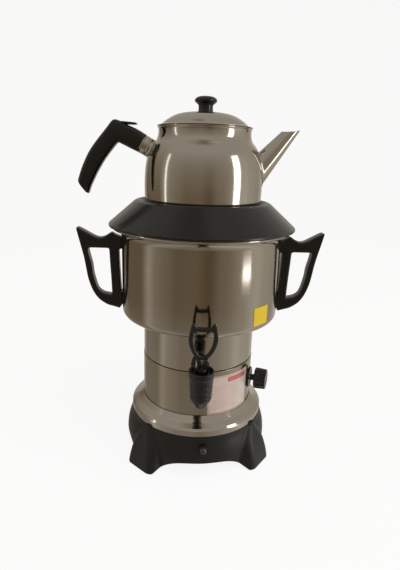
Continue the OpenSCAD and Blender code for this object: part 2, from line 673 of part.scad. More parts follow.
module teapot_lid() color([0.78, 0.76, 0.72]) difference() {
    union() {
        spun(spline([[mouth_r + 1.5, z_lid + lid_sheet], [mouth_r - 3, z_lid + lid_sheet], [mouth_r - 10, z_lid + 8],
            [mouth_r - 26, z_lid + lid_h - 2], [12, z_lid + lid_h], [0, z_lid + lid_h]], 5), lid_sheet);
        translate([0, 0, z_lid - 6]) tube(mouth_r - tea_sheet - 0.5, mouth_r - tea_sheet - 1.5, 7);
    }
    translate([0, 0, z_lid]) cylinder(r = 2 + hole_gap, h = 40);
    translate([0, 45, z_lid]) cylinder(r = 1.25, h = 40);
}
z_lid = z_mouth + rest_gap;
lid_sheet = 0.8;

lid_top = z_mouth + rest_gap + lid_h;
module lid_knob() color([0.05, 0.05, 0.05]) translate([0, 0, lid_top]) difference() {
    rotate_extrude() polygon(concat([[0, -0.4], [10, -0.4], [10, 0.6]],
        spline([[10, 0.6], [9.3, 3], [9.4, 9], [lid_knob_r - 3, 11], [lid_knob_r - 0.4, 12.6], [lid_knob_r, 15],
            [lid_knob_r - 1.6, 17.6], [lid_knob_r - 6, 19.3], [0, 19.4]], 4)));
    translate([0, 0, -1]) cylinder(r = 10.5, h = 1);
    translate([0, 0, -1]) cylinder(r = 2, h = 13);
}

module lid_knob_screw() color([0.7, 0.7, 0.7]) translate([0, 0, lid_top]) {
    translate([0, 0, -lid_sheet - 2.6]) cylinder(r = 4, h = 2.5);
    translate([0, 0, -lid_sheet - 0.2]) cylinder(r = 2, h = lid_sheet + 11);
}

// --- tap ----------------------------------------------------------------------------------------------

tap_c = neck_r + tap_out;
cup_r = barrel_r - 2.7;
chamber_r = 6.5;
z_cup = z_tap + 11.5;
z_flange = z_tap + 4.5;
z_seat = z_tap - 8.5;
z_outlet = z_tap - 38;
z_pivot = z_tap + 26.5;
flange_t = 2.5;
wall_face = neck_r + 2;
pin_c = tap_c + cam_arm;

module tap_body() color([0.07, 0.07, 0.07]) difference() {
    union() {
        translate([0, -tap_c, 0]) rotate_extrude() polygon([[0, z_outlet], [6.4, z_outlet], [7.2, z_outlet + 1.5],
            [12.4, z_outlet + 9.5], [13.5, z_outlet + 12.5], [13.7, z_outlet + 16], [13, z_outlet + 16.8],
            [13, z_outlet + 17.6], [13.9, z_outlet + 18.4], [14.1, z_outlet + 22.8], [13.4, z_outlet + 23.6],
            [13.4, z_outlet + 24.4], [14.3, z_outlet + 25.2], [14.5, z_outlet + 29.6], [13.8, z_outlet + 30.4],
            [13.8, z_outlet + 31.2], [14.8, z_outlet + 32], [barrel_r - 1, z_tap + 2.5],
            [barrel_r, z_tap + 4], [barrel_r, z_cup], [0, z_cup]]);
        translate([0, 0, z_tap]) spoke(shank_r, neck_r - 13, tap_c - 4);
        translate([0, 0, z_tap]) spoke(shank_r + 3, wall_face, tap_c - 10);
        translate([0, 0, z_tap]) spoke(shank_r + 6, wall_face, wall_face + 3);
    }
    translate([0, -tap_c, z_flange]) cylinder(r = cup_r, h = 20);
    translate([0, -tap_c, z_seat]) cylinder(r = chamber_r, h = 20);
    translate([0, -tap_c, z_outlet - 1]) cylinder(r = outlet_r, h = z_seat - z_outlet + 2);
    translate([0, 0, z_tap - 1]) spoke(3, neck_r - 14, tap_c - 2);
}

// Bonnet: closes the chamber, guides the stem and carries the lever between two ears
module tap_bonnet() color([0.09, 0.09, 0.09]) difference() {
    union() {
        translate([0, -tap_c, z_flange]) cylinder(r = cup_r - hole_gap, h = flange_t);
        translate([0, -tap_c, z_flange - 1.5]) cylinder(r = chamber_r - hole_gap, h = 2);
        translate([0, -tap_c, z_flange + flange_t - 0.1]) cylinder(r1 = 8, r2 = 6, h = z_pivot - 9 - z_flange - flange_t);
        for (x = [-1, 1]) translate([x * 5.1, -pin_c, z_pivot]) {
            crossbar(2.9, 2);
            translate([-1, -2.9, -12]) cube([2, cam_arm + 4.4, 12]);
        }
    }
    translate([0, -tap_c, z_flange - 3]) cylinder(r = stem_r + run_gap, h = 40);
    translate([0, -pin_c, z_pivot]) crossbar(pin_r + 0.01, 30);
    translate([-4.1, -pin_c - 4, z_pivot - 9]) cube([8.2, cam_arm + 16, 20]);
}

// Valve stem with its cross pin, which the lever's cheeks lift
module tap_stem() color([0.7, 0.7, 0.7]) translate([0, -tap_c, 0]) {
    translate([0, 0, z_seat + 1.5]) cylinder(r = stem_r, h = z_pivot - z_seat + 0.5);
    translate([0, 0, z_pivot]) crossbar(1, 7.4);
    translate([0, 0, z_seat + 4]) cylinder(r = 4, h = 0.8);
}

module tap_seat_cup() color([0.25, 0.1, 0.08]) translate([0, -tap_c, z_seat + 0.05]) difference() {
    cylinder(r = 5.5, h = 3.95);
    translate([0, 0, 1.45]) cylinder(r = stem_r, h = 5);
}

// Return spring: round wire swept along a helix between the seat plate and the bonnet
spring_r = 4;
spring_wire = 0.35;
spring_turns = 3;
spring_z0 = z_seat + 5.2;
spring_z1 = z_flange - 1.9;
module tap_spring() color([0.7, 0.7, 0.7]) translate([0, -tap_c, 0]) {
    steps = spring_turns * 16;
    sides = 6;
    rows = [for (i = [0 : steps]) let (a = 360 * i / 16, z = spring_z0 + (spring_z1 - spring_z0) * i / steps)
        [for (k = [0 : sides - 1]) let (b = 360 * k / sides, r = spring_r + spring_wire * cos(b))
            [r * cos(a), r * sin(a), z + spring_wire * sin(b)]]];
    polyhedron([for (row = rows, q = row) q], concat(
        [[for (k = [0 : sides - 1]) k]],
        [for (i = [0 : steps - 1], k = [0 : sides - 1]) let (m = (k + 1) % sides)
            [i * sides + k, (i + 1) * sides + k, (i + 1) * sides + m, i * sides + m]],
        [[for (k = [sides - 1 : -1 : 0]) steps * sides + k]]));
}

// Lever: a loop that leans forward, on two cheeks that straddle the stem under its cross pin
lever_outline = mirrored([[3.8, 2.5], [4.6, 3.6], [8.6, 6.2], [12.8, 13], [lever_w / 2 - 1, lever_h * 0.4],
    [lever_w / 2 + 0.8, lever_h * 0.6], [lever_w / 2 - 1.2, lever_h * 0.82], [lever_w / 2 - 3, lever_h],
    [lever_w / 2 - 6, lever_h], [lever_w / 2 - 7.5, lever_h - 5]]);
lever_hole = mirrored([[1, 6.6], [3.6, 7.6], [7.6, 13.2], [lever_w / 2 - 6.2, lever_h * 0.42],
    [lever_w / 2 - 4.8, lever_h * 0.6], [lever_w / 2 - 5.6, lever_h - 11.5], [lever_w / 2 - 7.5, lever_h - 10.8]]);
module tap_lever() color([0.06, 0.06, 0.06]) translate([0, -pin_c, z_pivot]) difference() {
    union() {
        rotate([90 + lever_lean, 0, 0]) translate([0, 0, -2]) linear_extrude(4) difference() {
            polygon(ring_spline(lever_outline));
            polygon(ring_spline(lever_hole));
        }
        for (x = [-1, 1]) translate([x * 2.8, 0, 0]) {
            crossbar(3.2, 2);
            translate([-1, 0, -3.2]) cube([2, cam_arm + 3, 6.4]);
            rotate([lever_lean, 0, 0]) translate([-1, -2, 0]) cube([2, 4, 8]);
        }
    }
    crossbar(pin_r + run_gap, 30);
    translate([-10, cam_arm - 1.4, -1.15]) cube([20, 10, 2.6]);
}

module lever_pin() color([0.7, 0.7, 0.7]) translate([0, -pin_c, z_pivot]) {
    crossbar(pin_r, 13);
    translate([7, 0, 0]) crossbar(2.2, 1);
}

// Wire ring through the pin's end, which keeps the pin in
module lever_ring() color([0.12, 0.12, 0.12]) translate([-7.1, -pin_c, z_pivot - 5]) rotate([0, 90, 0])
    rotate_extrude() translate([5, 0]) circle(r = 0.6, $fn = 16);

module tap_shank_nut() color([0.8, 0.8, 0.78]) translate([0, 0, z_tap]) difference() {
    translate([0, -neck_r + 8.5, 0]) rotate([90, 0, 0]) nut(16, shank_r, 5);
}

module tap_washers() color([0.15, 0.15, 0.15]) {
    difference() {
        translate([0, 0, z_tap]) spoke(shank_r + 5, neck_r - 4, wall_face);
        cylinder(r = neck_r, h = z_wall);
        translate([0, 0, z_tap]) spoke(shank_r, neck_r - 10, wall_face + 5);
    }
    difference() {
        intersection() {
            translate([0, 0, z_tap]) spoke(shank_r + 3, neck_r - 3.5, neck_r);
            cylinder(r = neck_r - sheet, h = z_wall);
        }
        translate([0, 0, z_tap]) spoke(shank_r, neck_r - 10, wall_face + 5);
    }
}

base_moulding();
foot_pads();
bottom_plate();
bottom_screws();
indicator_bezel();
indicator_lens();
cord_gland();
gland_nut();
terminal_block();
base_ring();
heater_housing();
rating_label();
seam_gasket();
tie_rods();
tie_nuts();
thermostat_body();
thermostat_nut();
thermostat_bezel();
thermostat_spindle();
thermostat_knob();
thermostat_bulb();
bulb_clip();
overheat_cutout();
wiring();
tank_shell();
tank_bottom();
heating_element();
element_nuts();
element_seals();
caution_label();
left_handle();
right_handle();
handle_screws();
handle_seals();
cover_shell();
teapot_body();
teapot_spout();
teapot_ferrule();
teapot_handle();
teapot_handle_bolt();
teapot_lid();
lid_knob();
lid_knob_screw();
tap_body();
tap_bonnet();
tap_stem();
tap_seat_cup();
tap_spring();
tap_lever();
lever_pin();
lever_ring();
tap_shank_nut();
tap_washers();
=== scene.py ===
"""Looks of an electric samovar with its teapot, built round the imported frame.

Every length is in metres in the frame's own axes: the origin is under the feet, +Z is up and the tap faces
-Y. An azimuth is an angle from the tap, -Y, towards +X. Lines and tables of points are in millimetres.
"""

import json
import math

import bpy
import numpy as np
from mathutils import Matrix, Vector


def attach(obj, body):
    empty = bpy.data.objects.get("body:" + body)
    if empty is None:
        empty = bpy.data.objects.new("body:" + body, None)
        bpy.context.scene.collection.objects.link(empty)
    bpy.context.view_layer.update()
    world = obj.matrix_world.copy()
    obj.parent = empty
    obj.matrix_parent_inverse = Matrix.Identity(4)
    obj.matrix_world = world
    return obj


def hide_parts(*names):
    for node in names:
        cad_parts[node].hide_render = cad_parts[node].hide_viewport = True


bl_info = {
    "name": "Samovar looks",
    "version": (1, 0, 0),
    "blender": (4, 5, 0),
    "location": "3D View > Sidebar > Samovar",
    "description": "Builds the finished surfaces, finishes and studio of a samovar on its frame",
    "category": "Object",
}

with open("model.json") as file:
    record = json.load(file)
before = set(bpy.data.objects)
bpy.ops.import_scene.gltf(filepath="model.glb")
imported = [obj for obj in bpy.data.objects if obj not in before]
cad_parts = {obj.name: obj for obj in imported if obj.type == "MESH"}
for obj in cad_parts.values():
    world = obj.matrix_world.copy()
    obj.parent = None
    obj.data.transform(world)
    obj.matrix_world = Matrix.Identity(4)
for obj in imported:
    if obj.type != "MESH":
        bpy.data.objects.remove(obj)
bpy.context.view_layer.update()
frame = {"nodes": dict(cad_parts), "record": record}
MM = 0.001
TURN = 2 * math.pi


# --- properties ---------------------------------------------------------------------------------------


def length(name, description, millimetres):
    """A length property, given in millimetres and kept in metres."""
    return bpy.props.FloatProperty(
        name=name, description=description, default=millimetres * MM, unit="LENGTH", precision=5
    )


def angle(name, description, degrees):
    """An angle property, given in degrees and kept in radians."""
    return bpy.props.FloatProperty(
        name=name, description=description, default=math.radians(degrees), subtype="ANGLE"
    )


def share(name, description, value):
    """A plain number from 0 to 1."""
    return bpy.props.FloatProperty(
        name=name, description=description, default=value, min=0.0, max=1.0, subtype="FACTOR"
    )


def colour(name, description, value):
    """A linear colour property."""
    return bpy.props.FloatVectorProperty(
        name=name, description=description, default=value, size=3, min=0.0, max=1.0, subtype="COLOR"
    )


class SamovarBase(bpy.types.PropertyGroup):
    """Sizes of the base, the ring and the heater housing."""

    height: length("Base height", "Height of the base, up to the ring", 60)
    turn: angle("Base turn", "How far the base sits turned under the tank", 3.8)
    leg_azimuth: angle("Leg azimuth", "Azimuth of the front legs before the turn", 48)
    leg_half: length("Leg half width", "Half the width of a leg at the floor", 26.5)
    leg_reach: length("Leg reach", "How far a toe reaches from the axis", 118.5)
    sole: length("Sole height", "Height of the legs' soles over the floor", 1.5)
    arch: length("Arch height", "Height of the arches between the legs", 23.7)
    ring_radius: length("Ring radius", "Outside radius of the polished ring", 97)
    ring_height: length("Ring height", "Height of the polished ring", 22.5)
    housing_radius: length("Housing radius", "Outside radius of the heater housing", 80)
    housing_top: length("Housing top", "Height of the housing's upper edge over the floor", 146.5)
    lamp_height: length("Lamp height", "Height of the indicator over the floor", 44)


class SamovarTank(bpy.types.PropertyGroup):
    """Sizes of the tank, its side handles and the cover."""

    radius: length("Tank radius", "Outside radius of the tank's wall", 110)
    neck: length("Neck radius", "Outside radius of the tank's neck", 79.5)
    bottom: length("Tank bottom", "Height of the tank's bottom over the floor", 147.5)
    shoulder: length("Shoulder", "Height where the shoulder leaves the neck", 196.5)
    wall: length("Wall start", "Height where the straight wall starts", 216)
    flare: length("Wall end", "Height where the rim starts to flare", 317)
    rim: length("Rim height", "Height of the rolled rim over the floor", 331)
    sheet: length("Sheet", "Thickness of the steel", 0.8)
    handle_reach: length("Handle reach", "Reach of a side handle from the tank's wall", 62)
    handle_thick: length("Handle thickness", "Thickness of a side handle", 16)
    cover_radius: length("Cover radius", "Outside radius of the cover", 127)
    cover_base: length("Cover base", "Height of the cover's lower edge over the floor", 331.3)
    cover_height: length("Cover height", "Height of the cover", 34.5)


class SamovarTeapot(bpy.types.PropertyGroup):
    """Sizes of the teapot."""

    radius: length("Teapot radius", "Largest radius of the teapot", 78.3)
    bottom: length("Teapot bottom", "Height of the teapot's bottom over the floor", 355.6)
    height: length("Teapot height", "Height of the teapot's body", 103.7)
    mouth: length("Mouth radius", "Radius of the teapot's mouth", 61)
    dome: length("Lid dome", "Height of the lid's dome over the mouth", 18.5)
    knob: length("Lid knob radius", "Radius of the lid's knob", 14.7)
    spout_root: length("Spout root", "Radius of the spout at its root", 16.3)
    spout_tip: length("Spout tip", "Radius of the spout at its lip", 8.1)
    spout_length: length("Spout length", "Length of the spout along its axis", 68)
    spout_tilt: angle("Spout tilt", "Angle of the spout above the horizontal", 50.5)
    ferrule_tilt: angle("Ferrule tilt", "Angle of the handle's ferrule above the horizontal", 27.8)
    ferrule_radius: length("Ferrule radius", "Radius of the handle's ferrule", 12.2)
    grip_width: length("Grip width", "Width of the handle from side to side", 21)


class SamovarFittings(bpy.types.PropertyGroup):
    """Sizes of the tap and the thermostat."""

    tap_out: length("Tap distance", "From the samovar's axis to the tap's", 122)
    tap_height: length("Tap height", "Height of the tap's shank over the floor", 160.5)
    barrel: length("Barrel radius", "Radius of the tap's barrel at its rim", 16.2)
    pivot_out: length("Pivot distance", "From the samovar's axis to the lever's pivot", 127)
    pivot_height: length("Pivot height", "Height of the lever's pivot over the floor", 187)
    lever_lean: angle("Lever lean", "Angle at which the lever leans forward at rest", 17)
    dial_azimuth: angle("Dial azimuth", "Azimuth of the thermostat's dial", 70.5)
    dial_height: length("Dial height", "Height of the dial over the floor", 114.5)
    dial_radius: length("Dial radius", "Radius of the dial and its bezel", 15)


class SamovarColours(bpy.types.PropertyGroup):
    """Colours and finishes."""

    tank_steel: colour("Tank steel", "Brushed steel of the tank", (0.47, 0.43, 0.37))
    housing_steel: colour("Housing steel", "Satin steel of the housing", (0.42, 0.37, 0.295))
    mirror_steel: colour("Mirror steel", "Polished steel of the teapot and the ring", (0.52, 0.48, 0.42))
    base_plastic: colour("Base plastic", "Dark moulded plastic of the base", (0.006, 0.006, 0.0055))
    bakelite: colour("Bakelite", "Black handles, cover, tap and knobs", (0.002, 0.002, 0.002))
    rubber: colour("Rubber", "Feet, gasket and washers", (0.02, 0.02, 0.02))
    sticker: colour("Sticker", "Yellow sticker on the tank", (0.85, 0.6, 0.015))
    plate: colour("Plate", "Pale ground of the rating plate", (0.78, 0.68, 0.64))
    plate_ink: colour("Plate ink", "Red fields of the rating plate", (0.6, 0.2, 0.18))
    smudge: share("Smudges", "How strongly handling shows on polished metal", 0.5)
    wear: share("Wear", "How strongly rounded edges are rubbed", 0.5)


class SamovarStage(bpy.types.PropertyGroup):
    """Camera and studio."""

    azimuth: angle("Camera azimuth", "Azimuth of the camera", -2.6)
    aim: angle("Camera aim", "How far the camera looks to the left of the axis", -0.011)
    distance: length("Camera distance", "Distance of the camera from the axis", 607.9)
    height: length("Camera height", "Height of the camera over the floor", 418)
    pitch: angle("Camera pitch", "How far the camera looks down", 15.86)
    roll: angle("Camera roll", "How far the camera is rolled", 1.9)
    lens: bpy.props.FloatProperty(
        name="Lens", description="Focal length in millimetres on a 36 mm side", default=27.67
    )
    dim: colour("Dim side", "Colour of the studio on its dim side", (0.2, 0.155, 0.105))
    bright: colour("Bright side", "Colour of the studio on its bright side", (0.72, 0.68, 0.61))


# --- curves -------------------------------------------------------------------------------------------


def smooth_line(points, steps=10, closed=False):
    """Quadratic B-spline of control points.

    Each control point bends one parabola that runs between the middles of its two neighbouring spans; an open
    line starts and ends on its first and last control points.
    """
    p = np.asarray(points, float)
    if closed:
        start, bend, stop = (np.roll(p, 1, 0) + p) / 2, p, (p + np.roll(p, -1, 0)) / 2
        t = np.arange(steps) / steps
    else:
        middle = (p[:-1] + p[1:]) / 2
        start = np.vstack([p[:1], middle[1:-1]])
        stop = np.vstack([middle[1:-1], p[-1:]])
        bend = p[1:-1]
        t = np.arange(steps + 1) / steps
    t = t[None, :, None]
    curve = start[:, None] * (1 - t) ** 2 + bend[:, None] * 2 * t * (1 - t) + stop[:, None] * t**2
    curve = curve.reshape(-1, p.shape[1])
    if not closed:
        keep = np.r_[True, np.linalg.norm(np.diff(curve, axis=0), axis=1) > 1e-9]
        curve = curve[keep]
    return curve


def rounded(corners, closed=True, steps=6, hold=0.4):
    """Line through corners (x, y, radius) with each corner replaced by an arc tangent to both its sides.

    The arc's centre lies on the corner's bisector at radius over the sine of the half angle. A short
    straight step before and after each arc keeps the flat sides flat in the shading. Returns the points and
    a mark that is 1 on the arcs.
    """
    c = np.asarray(corners, float)
    count = len(c)
    points, marks = [], []
    for i in range(count):
        p, r = c[i, :2], c[i, 2]
        a, b = c[i - 1, :2] - p, c[(i + 1) % count, :2] - p
        la, lb = np.linalg.norm(a), np.linalg.norm(b)
        u, v = a / la, b / lb
        half = math.acos(np.clip(u @ v, -1, 1)) / 2
        if r <= 0 or half > math.radians(89) or (not closed and i in (0, count - 1)):
            points.append(p[None])
            marks.append([0.0])
            continue
        reach = min(r / math.tan(half), 0.46 * la, 0.46 * lb)
        r = reach * math.tan(half)
        centre = p + (u + v) / np.linalg.norm(u + v) * r / math.sin(half)
        first, last = p + u * reach - centre, p + v * reach - centre
        a0 = math.atan2(first[1], first[0])
        sweep = (math.atan2(last[1], last[0]) - a0 + math.pi) % TURN - math.pi
        t = a0 + sweep * np.linspace(0, 1, steps + 1)
        arc = centre + r * np.stack([np.cos(t), np.sin(t)], 1)
        before, after = p + u * min(reach + hold, 0.48 * la), p + v * min(reach + hold, 0.48 * lb)
        points += [before[None], arc, after[None]]
        marks += [[0.0], np.ones(steps + 1), [0.0]]
    return np.vstack(points), np.concatenate(marks)


def rolled_edge(centre, radius, first, last, steps):
    """Arc round a centre from one angle to another, in degrees."""
    a = np.radians(np.linspace(first, last, steps))
    return np.asarray(centre) + radius * np.stack([np.cos(a), np.sin(a)], 1)


def offset_line(line, t):
    """Open line moved to its left by t, along the bisectors of its corners."""
    d = np.diff(line, axis=0)
    left = np.stack([-d[:, 1], d[:, 0]], 1) / np.linalg.norm(d, axis=1, keepdims=True)
    s = np.vstack([left[:1] * 2, left[:-1] + left[1:], left[-1:] * 2])
    return line + s * (2 * t / (s * s).sum(1, keepdims=True))


# --- surfaces -----------------------------------------------------------------------------------------


class Shell:
    """A closed or open grid of points, ready to be joined with others into one mesh."""

    def __init__(self, grid, wrap=(True, True), poles=(False, False), mark=None):
        """grid has the shape (rows, columns, 3); a pole collapses the first or the last row to one point."""
        self.grid = np.asarray(grid, float)
        self.wrap = wrap
        self.poles = poles
        rows, columns = self.grid.shape[:2]
        mark = np.zeros(rows) if mark is None else np.asarray(mark, float)
        self.mark = np.broadcast_to(mark[:, None] if mark.ndim == 1 else mark, (rows, columns))

    def arrays(self):
        """Points, marks, four-sided faces and fans, turned so that the enclosed volume is positive."""
        g, (rows, columns) = self.grid, self.grid.shape[:2]
        points, marks = g.reshape(-1, 3), self.mark.reshape(-1)
        first = 1 if self.poles[0] else 0
        last = rows - 1 if self.poles[1] else rows
        i = np.arange(first, last if self.wrap[0] else last - 1)
        j = np.arange(columns if self.wrap[1] else columns - 1)
        i, j = (x.ravel() for x in np.meshgrid(i, j, indexing="ij"))
        i1 = np.where(self.wrap[0], (i + 1) % rows, i + 1)
        j1 = (j + 1) % columns
        quads = np.stack([i * columns + j, i1 * columns + j, i1 * columns + j1, i * columns + j1], 1)
        fans = []
        k = np.arange(columns)
        k1 = (k + 1) % columns
        if self.poles[0]:
            fans.append(np.stack([np.zeros_like(k), columns + k, columns + k1], 1))
        if self.poles[1]:
            top = (rows - 1) * columns
            fans.append(np.stack([np.full_like(k, top), top - columns + k1, top - columns + k], 1))
        fans = np.vstack(fans) if fans else np.zeros((0, 3), int)
        a, b, c, d = (points[quads[:, n]] for n in range(4))
        volume = (np.cross(b - a, c - a) * a).sum() + (np.cross(c - a, d - a) * a).sum()
        if len(fans):
            a, b, c = (points[fans[:, n]] for n in range(3))
            volume += (np.cross(b - a, c - a) * a).sum()
        if volume < 0:
            quads, fans = quads[:, ::-1], fans[:, ::-1]
        used = np.zeros(len(points), bool)
        used[quads.ravel()] = True
        used[fans.ravel()] = True
        index = np.cumsum(used) - 1
        return points[used], marks[used], index[quads], index[fans]


def turned(line, marks, sides, poles=(False, False), closed=True):
    """Surface of revolution: each point (r, z) becomes the circle r cos a, r sin a at the height z."""
    line = np.asarray(line, float)
    a = np.arange(sides) * TURN / sides
    r, z = np.maximum(line[:, :1], 0), line[:, 1:2]
    grid = np.stack([r * np.cos(a), r * np.sin(a), np.broadcast_to(z, (len(line), sides))], 2)
    return Shell(grid, (closed, True), poles, marks)


def spun(corners, sides, **how):
    """Ring turned from rounded corners (r, z, radius) in millimetres."""
    line, edge = rounded(corners, **how)
    return turned(line * MM, edge, sides)


def domed(line, marks, sides):
    """Body turned from a line in millimetres that starts and ends on the axis."""
    return turned(line * MM, marks, sides, (True, True), False)


def placed(shell, origin, axis):
    """The shell with its +Z turned to a level axis: each point becomes origin + x e1 + y e2 + z axis."""
    e1 = np.cross((0, 0, 1), axis)
    e1 = e1 / np.linalg.norm(e1)
    shell.grid = origin + shell.grid @ np.stack([e1, np.cross(axis, e1), axis])
    return shell


def loop_plate(outer, inner, half_thick, radius, steps=5):
    """Plate with one hole: a rounded rectangle carried round between two closed lines with matching points.

    At each station the section runs from the hole's line to the outer line, its corners rounded by radius.
    Returns a grid (stations, section, 3) of x, y and thickness, and the marks of the corners.
    """
    span = outer - inner
    size = np.linalg.norm(span, axis=1)[:, None]
    r = np.minimum(radius, 0.45 * size)
    run = size - 2 * r
    t = np.linspace(0, math.pi / 2, steps)[None]
    inset = r * (1 - np.cos(t))
    corner = half_thick - r + r * np.sin(t)
    face = half_thick * np.ones((1, 3)) + 0 * r
    flat = np.array([[0.8, 0.5, 0.2]])
    along = np.hstack([
        size - inset, r + run * flat, inset[:, ::-1], inset, r + run * flat[:, ::-1], size - inset[:, ::-1],
    ])
    across = np.hstack([corner, face, corner[:, ::-1], -corner, -face, -corner[:, ::-1]])
    place = inner[:, None] + (span / size)[:, None] * along[:, :, None]
    arc, level = np.ones(steps), np.zeros(3)
    mark = np.hstack([arc, level, arc, arc, level, arc])
    return np.dstack([place, across]), np.broadcast_to(mark, across.shape)


def swept_bar(top, bottom, half_width, radius, steps=6):
    """Bar whose section runs from a top line to a bottom line with matching points, rounded at its corners.

    top and bottom hold (x, z) in millimetres. The section is a rounded rectangle with half_width in y, the
    same for every station or one value each. Both ends are closed on the middle of their sections.
    """
    span = top - bottom
    size = np.linalg.norm(span, axis=1)[:, None]
    unit = span / size
    w = np.broadcast_to(np.asarray(half_width, float).reshape(-1, 1), size.shape)
    r = np.minimum(np.broadcast_to(np.asarray(radius, float).reshape(-1, 1), size.shape), 0.48 * size)
    t = np.linspace(0, math.pi / 2, steps)[None]
    s, c = np.sin(t), np.cos(t)
    up = np.hstack([size - r + r * s, size - r + r * c, r - r * s, r - r * c])
    side = np.hstack([w - r + r * c, -w + r - r * s, -w + r - r * c, w - r + r * s])
    flat = bottom[:, None] + unit[:, None] * up[:, :, None]
    grid = np.dstack([flat[:, :, 0], side, flat[:, :, 1]])
    first, last = grid[:1].mean(1, keepdims=True), grid[-1:].mean(1, keepdims=True)
    first, last = (np.broadcast_to(end, grid[:1].shape) for end in (first, last))
    return Shell(np.vstack([first, grid, last]) * MM, (False, True), (True, True))


def build_mesh(name, shells):
    """One mesh of several shells, smooth shaded, with the rounded edges kept in the attribute edge."""
    points, marks, faces, base = [], [], [], 0
    for shell in shells:
        p, m, quads, fans = shell.arrays()
        points.append(p)
        marks.append(m)
        faces += (quads + base).tolist() + (fans + base).tolist()
        base += len(p)
    mesh = bpy.data.meshes.new(name)
    mesh.from_pydata(np.vstack(points).tolist(), [], faces)
    edge = mesh.attributes.new("edge", "FLOAT", "POINT")
    edge.data.foreach_set("value", np.concatenate(marks).astype(np.float32))
    mesh.polygons.foreach_set("use_smooth", np.ones(len(mesh.polygons), bool))
    mesh.update()
    return mesh


def add_piece(name, shells, body, slot, *stands_for):
    """Puts a mesh in the scene, on its body, with the finish of its slot and the nodes that it stands for."""
    mesh = build_mesh(name, shells)
    mesh.materials.append(bpy.data.materials[slot])
    piece = bpy.data.objects.new(name, mesh)
    bpy.context.scene.collection.objects.link(piece)
    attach(piece, body)
    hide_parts(*stands_for)
    return piece


# --- shader groups ------------------------------------------------------------------------------------


class Nodes:
    """Short ways of laying out a node tree. An input takes a plain value, or a socket to be linked to."""

    def __init__(self, tree):
        self.tree = tree

    def put(self, socket, value):
        """Links an input to a socket, or sets it to a plain value."""
        if isinstance(value, bpy.types.NodeSocket):
            self.tree.links.new(value, socket)
        else:
            socket.default_value = value

    def node(self, kind, inputs=None, **settings):
        """A node with its settings and its inputs."""
        node = self.tree.nodes.new(kind)
        for key, value in settings.items():
            setattr(node, key, value)
        for key, value in (inputs or {}).items():
            self.put(node.inputs[key], value)
        return node

    def math(self, operation, *values):
        """Result of a Math node."""
        return self.node("ShaderNodeMath", dict(enumerate(values)), operation=operation).outputs[0]

    def scaled(self, vector, factors):
        """A vector multiplied by another, number by number."""
        return self.node("ShaderNodeVectorMath", {0: vector, 1: factors}, operation="MULTIPLY").outputs[0]

    def stretch(self, value, low, high, start=0.0, stop=1.0, soft=False):
        """A value carried from low and high to start and stop, and held beyond them."""
        kind = "SMOOTHSTEP" if soft else "LINEAR"
        inputs = {"Value": value, "From Min": low, "From Max": high, "To Min": start, "To Max": stop}
        return self.node("ShaderNodeMapRange", inputs, interpolation_type=kind).outputs[0]

    def noise(self, place, scale, detail, **more):
        """Noise from 0 to 1."""
        inputs = {"Vector": place, "Scale": scale, "Detail": detail, **more}
        return self.node("ShaderNodeTexNoise", inputs).outputs["Fac"]

    def mix(self, factor, a, b):
        """Colour a where the factor is 0 and b where it is 1."""
        return self.node("ShaderNodeMix", {0: factor, 6: a, 7: b}, data_type="RGBA").outputs[2]


class Group(Nodes):
    """A shader group being laid out: a vector and some numbers in, numbers out."""

    def __init__(self, name, inputs, outputs):
        super().__init__(bpy.data.node_groups.new(name, "ShaderNodeTree"))
        self.tree.interface.new_socket(name="Vector", in_out="INPUT", socket_type="NodeSocketVector")
        for label, value in inputs.items():
            socket = self.tree.interface.new_socket(name=label, in_out="INPUT", socket_type="NodeSocketFloat")
            socket.default_value = value
        for label in outputs:
            self.tree.interface.new_socket(name=label, in_out="OUTPUT", socket_type="NodeSocketFloat")
        self.source = self.node("NodeGroupInput").outputs
        self.sink = self.node("NodeGroupOutput").inputs

    def link(self, output, label):
        """Joins a socket to a named output of the group."""
        self.tree.links.new(output, self.sink[label])


def make_brushing(name):
    """Fine parallel lines: a noise that is drawn out along the brushing and squeezed across it."""
    g = Group(name, {"Across": 2400.0, "Along": 14.0, "Contrast": 0.5}, ("Lines", "Height"))
    along = g.source["Along"]
    scale = g.node("ShaderNodeCombineXYZ", {"X": along, "Y": along, "Z": g.source["Across"]}).outputs[0]
    moved = g.scaled(g.source["Vector"], scale)
    fine = g.noise(moved, 1.0, 4.0, Roughness=0.6)
    broad = g.noise(g.scaled(moved, (0.6, 0.6, 0.11)), 1.0, 2.0)
    centred = g.math("ADD", g.math("ADD", fine, broad), -1.0)
    g.link(g.math("MULTIPLY", centred, g.source["Contrast"]), "Lines")
    g.link(fine, "Height")
    return g.tree


def make_smudges(name):
    """Soft handling marks and small spots: two noises of different size, stretched to masks from 0 to 1."""
    g = Group(name, {"Size": 22.0, "Amount": 0.5}, ("Mask", "Spots"))
    place, size, amount = (g.source[key] for key in ("Vector", "Size", "Amount"))
    large = g.noise(place, size, 5.0, Roughness=0.62, Distortion=0.5)
    small = g.noise(place, g.math("MULTIPLY", size, 26.0), 2.0)
    g.link(g.math("MULTIPLY", g.stretch(large, 0.42, 0.72), amount), "Mask")
    g.link(g.math("MULTIPLY", g.stretch(small, 0.66, 0.74), amount), "Spots")
    return g.tree


def make_moulding(name):
    """Moulded plastic: a fine grain for the height, and broad faint clouds for the colour."""
    g = Group(name, {"Grain": 1800.0}, ("Height", "Clouds"))
    g.link(g.noise(g.source["Vector"], g.source["Grain"], 3.0), "Height")
    g.link(g.noise(g.source["Vector"], 30.0, 4.0), "Clouds")
    return g.tree


